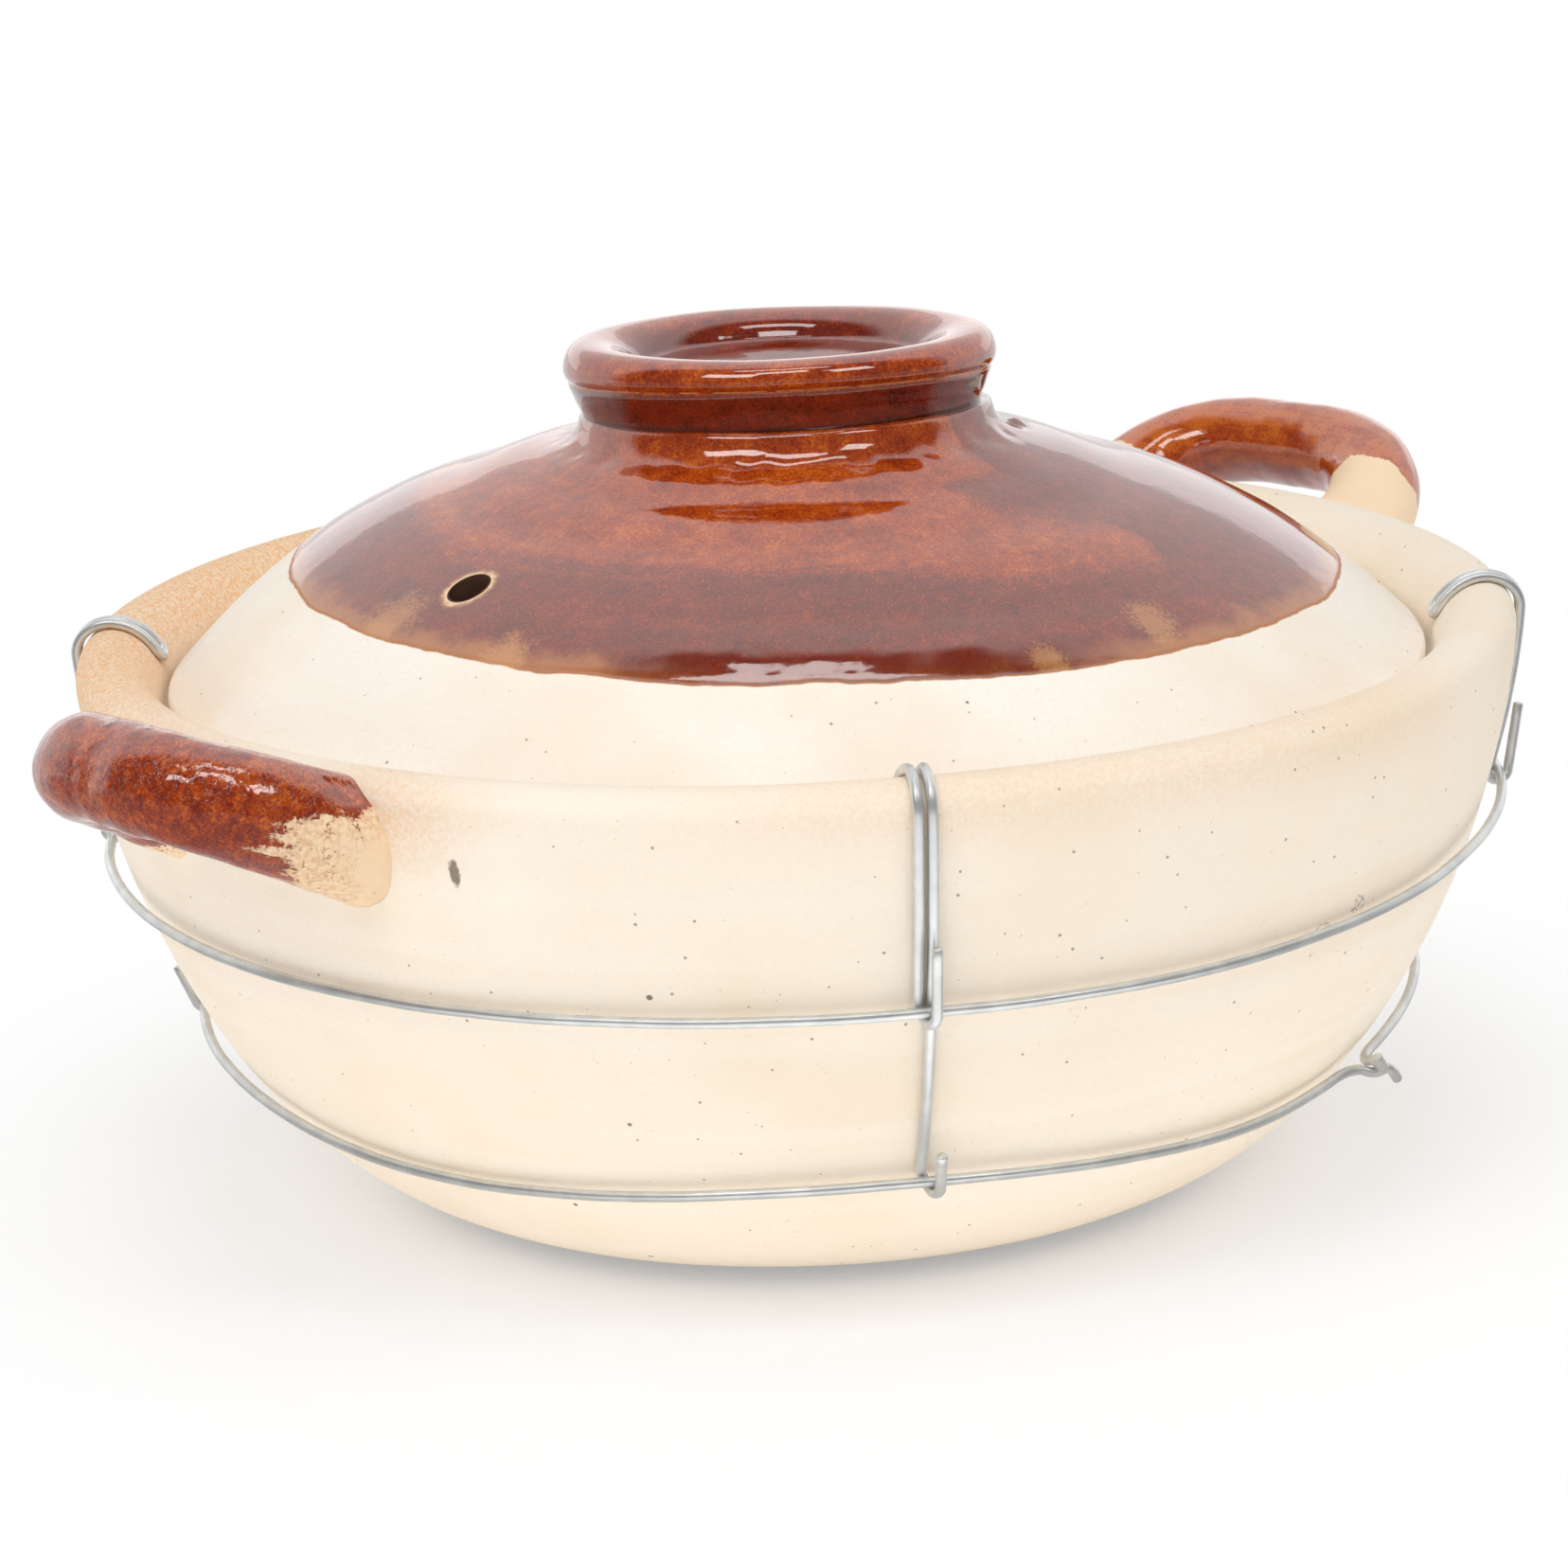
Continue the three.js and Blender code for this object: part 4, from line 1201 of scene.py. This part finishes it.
def make_floor(away):
    """A pale floor with the pot's shadow, white further out. Shiny surfaces mirror its front dimly."""
    h = FLOOR_HALF / MM
    floor = piece("floor", [(-h, -h, 0), (h, -h, 0), (h, h, 0), (-h, h, 0)], [(0, 1, 2, 3)])
    p = Paint("floor")
    p.put("Base Color", srgb(250, 250, 250))
    p.put("Roughness", 1)
    p.put("Specular IOR Level", 0)
    white = p.node("Emission")
    before = p.vector("DOT_PRODUCT", p.place, away)
    path = p.node("LightPath").outputs
    seen = p.most(path["Is Camera Ray"], path["Is Glossy Ray"])
    seen = p.most(seen, path["Is Transmission Ray"])
    far = p.ramp(p.r, SHADOW_NEAR / MM, SHADOW_FAR / MM, SHADOW_FADE, 1)
    front = p.ramp(before, FRONT_FLOOR_FROM / MM, FRONT_FLOOR_TO / MM)
    mirrored = p.times(path["Is Glossy Ray"], front)
    p.feed(white.inputs["Strength"], p.ramp(mirrored, 0, 1, 1, FRONT_FLOOR))
    blend = p.node("MixShader", p.times(seen, far), p.shader.outputs[0], white.outputs[0])
    p.feed(p.nodes["Material Output"].inputs["Surface"], blend.outputs[0])
    floor.data.materials.append(p.material)


def lamp_panel(name, place, back, width, height, radiance, mirrored):
    """A soft lamp at a place in metres. It shines away from its back."""
    data = bpy.data.lights.new(name, "AREA")
    data.shape = "RECTANGLE"
    data.size = width
    data.size_y = height
    data.energy = radiance * pi * width * height
    lamp = bpy.data.objects.new(name, data)
    lamp.location = place
    lamp.rotation_euler = back.to_track_quat("Z", "Y").to_euler()
    lamp.visible_camera = False
    lamp.visible_glossy = mirrored
    scene.collection.objects.link(lamp)
    return lamp


def softbox(name, azimuth, elevation, distance, width, height, radiance, mirrored):
    """A lamp that faces the pot. A positive azimuth is to the viewer's right."""
    a = radians(VIEW_AZIMUTH + azimuth)
    e = radians(elevation)
    back = Vector((sin(a) * cos(e), -cos(a) * cos(e), sin(e)))
    place = back * distance + Vector((0, 0, POT_HEIGHT)) * MM
    lamp_panel(name, place, back, width, height, radiance, mirrored)


def dress(made, node, body, material):
    """Gives a piece its finish and its body, and hides the part of the node that it stands for."""
    made.data.materials.clear()
    made.data.materials.append(material)
    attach(made, body)
    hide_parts(node)


scene.view_settings.view_transform = "Standard"
toward_viewer = set_camera()
set_world(toward_viewer)
make_floor(toward_viewer)
for lamp_name, lamp_values in LAMPS.items():
    softbox(lamp_name, *lamp_values)
table_place = Vector((0, 0, TABLE_LIGHT_HEIGHT))
lamp_panel("table_light", table_place, DOWN, TABLE_LIGHT_SIDE, TABLE_LIGHT_SIDE, 0.27, False)

dress(make_pot(), "pot_body", "pot", pot_finish())
dress(make_lid(), "lid_dome", "lid", lid_finish())
dress(make_knob(), "lid_knob", "lid", knob_finish())
left = make_handle(
    "left_handle_roll", 180 - LEFT_OFF_AXIS, half_span=22.8, reach=27.2, rise=13.8,
    thickness=17.4, flare=0.4, seed=3, lumpy=1, thumbed=1,
)
left_glaze = handle_finish(
    "brown_glaze_left", 41, bare_from=-0.88, bare_to=0.56, bare_colour=srgb(240, 205, 160),
    mottled=0.85, outer_reach=0, upper_reach=0.4,
)
dress(left, "handle_left", "pot", left_glaze)
right = make_handle(
    "right_handle_roll", RIGHT_OFF_AXIS, half_span=30.2, reach=28.7, rise=16.2,
    thickness=16.8, flare=1.6, seed=8, lumpy=0.6, thumbed=0,
)
right_glaze = handle_finish(
    "brown_glaze_right", 51, bare_from=-0.6, bare_to=0.74, bare_colour=PEACH,
    mottled=0.1, outer_reach=0.012, upper_reach=0,
)
dress(right, "handle_right", "pot", right_glaze)
steel = wire_finish()
# A white card on the table before the pot gives the round wires their bright core. It lights only them.
wires = bpy.data.collections.new("wires")
card_place = toward_viewer * CARD_BEFORE + Vector((0, 0, CARD_HEIGHT))
card = lamp_panel("wire_card", card_place, DOWN, CARD_WIDTH, CARD_DEPTH, 0.95, True)
card.rotation_euler.z += radians(VIEW_AZIMUTH)
card.light_linking.receiver_collection = wires
cage = {tie: make_tie(tie, *places) for tie, places in TIES.items()}
cage["upper_hoop"] = make_hoop("upper_hoop", UPPER_STOPS, UPPER_HOOP_SAG, UPPER_PIGTAIL_ANGLE)
cage["lower_hoop"] = make_hoop("lower_hoop", LOWER_STOPS, LOWER_HOOP_SAG, LOWER_PIGTAIL_ANGLE)
for cage_node, wire in cage.items():
    dress(wire, cage_node, "pot", steel)
    wires.objects.link(wire)
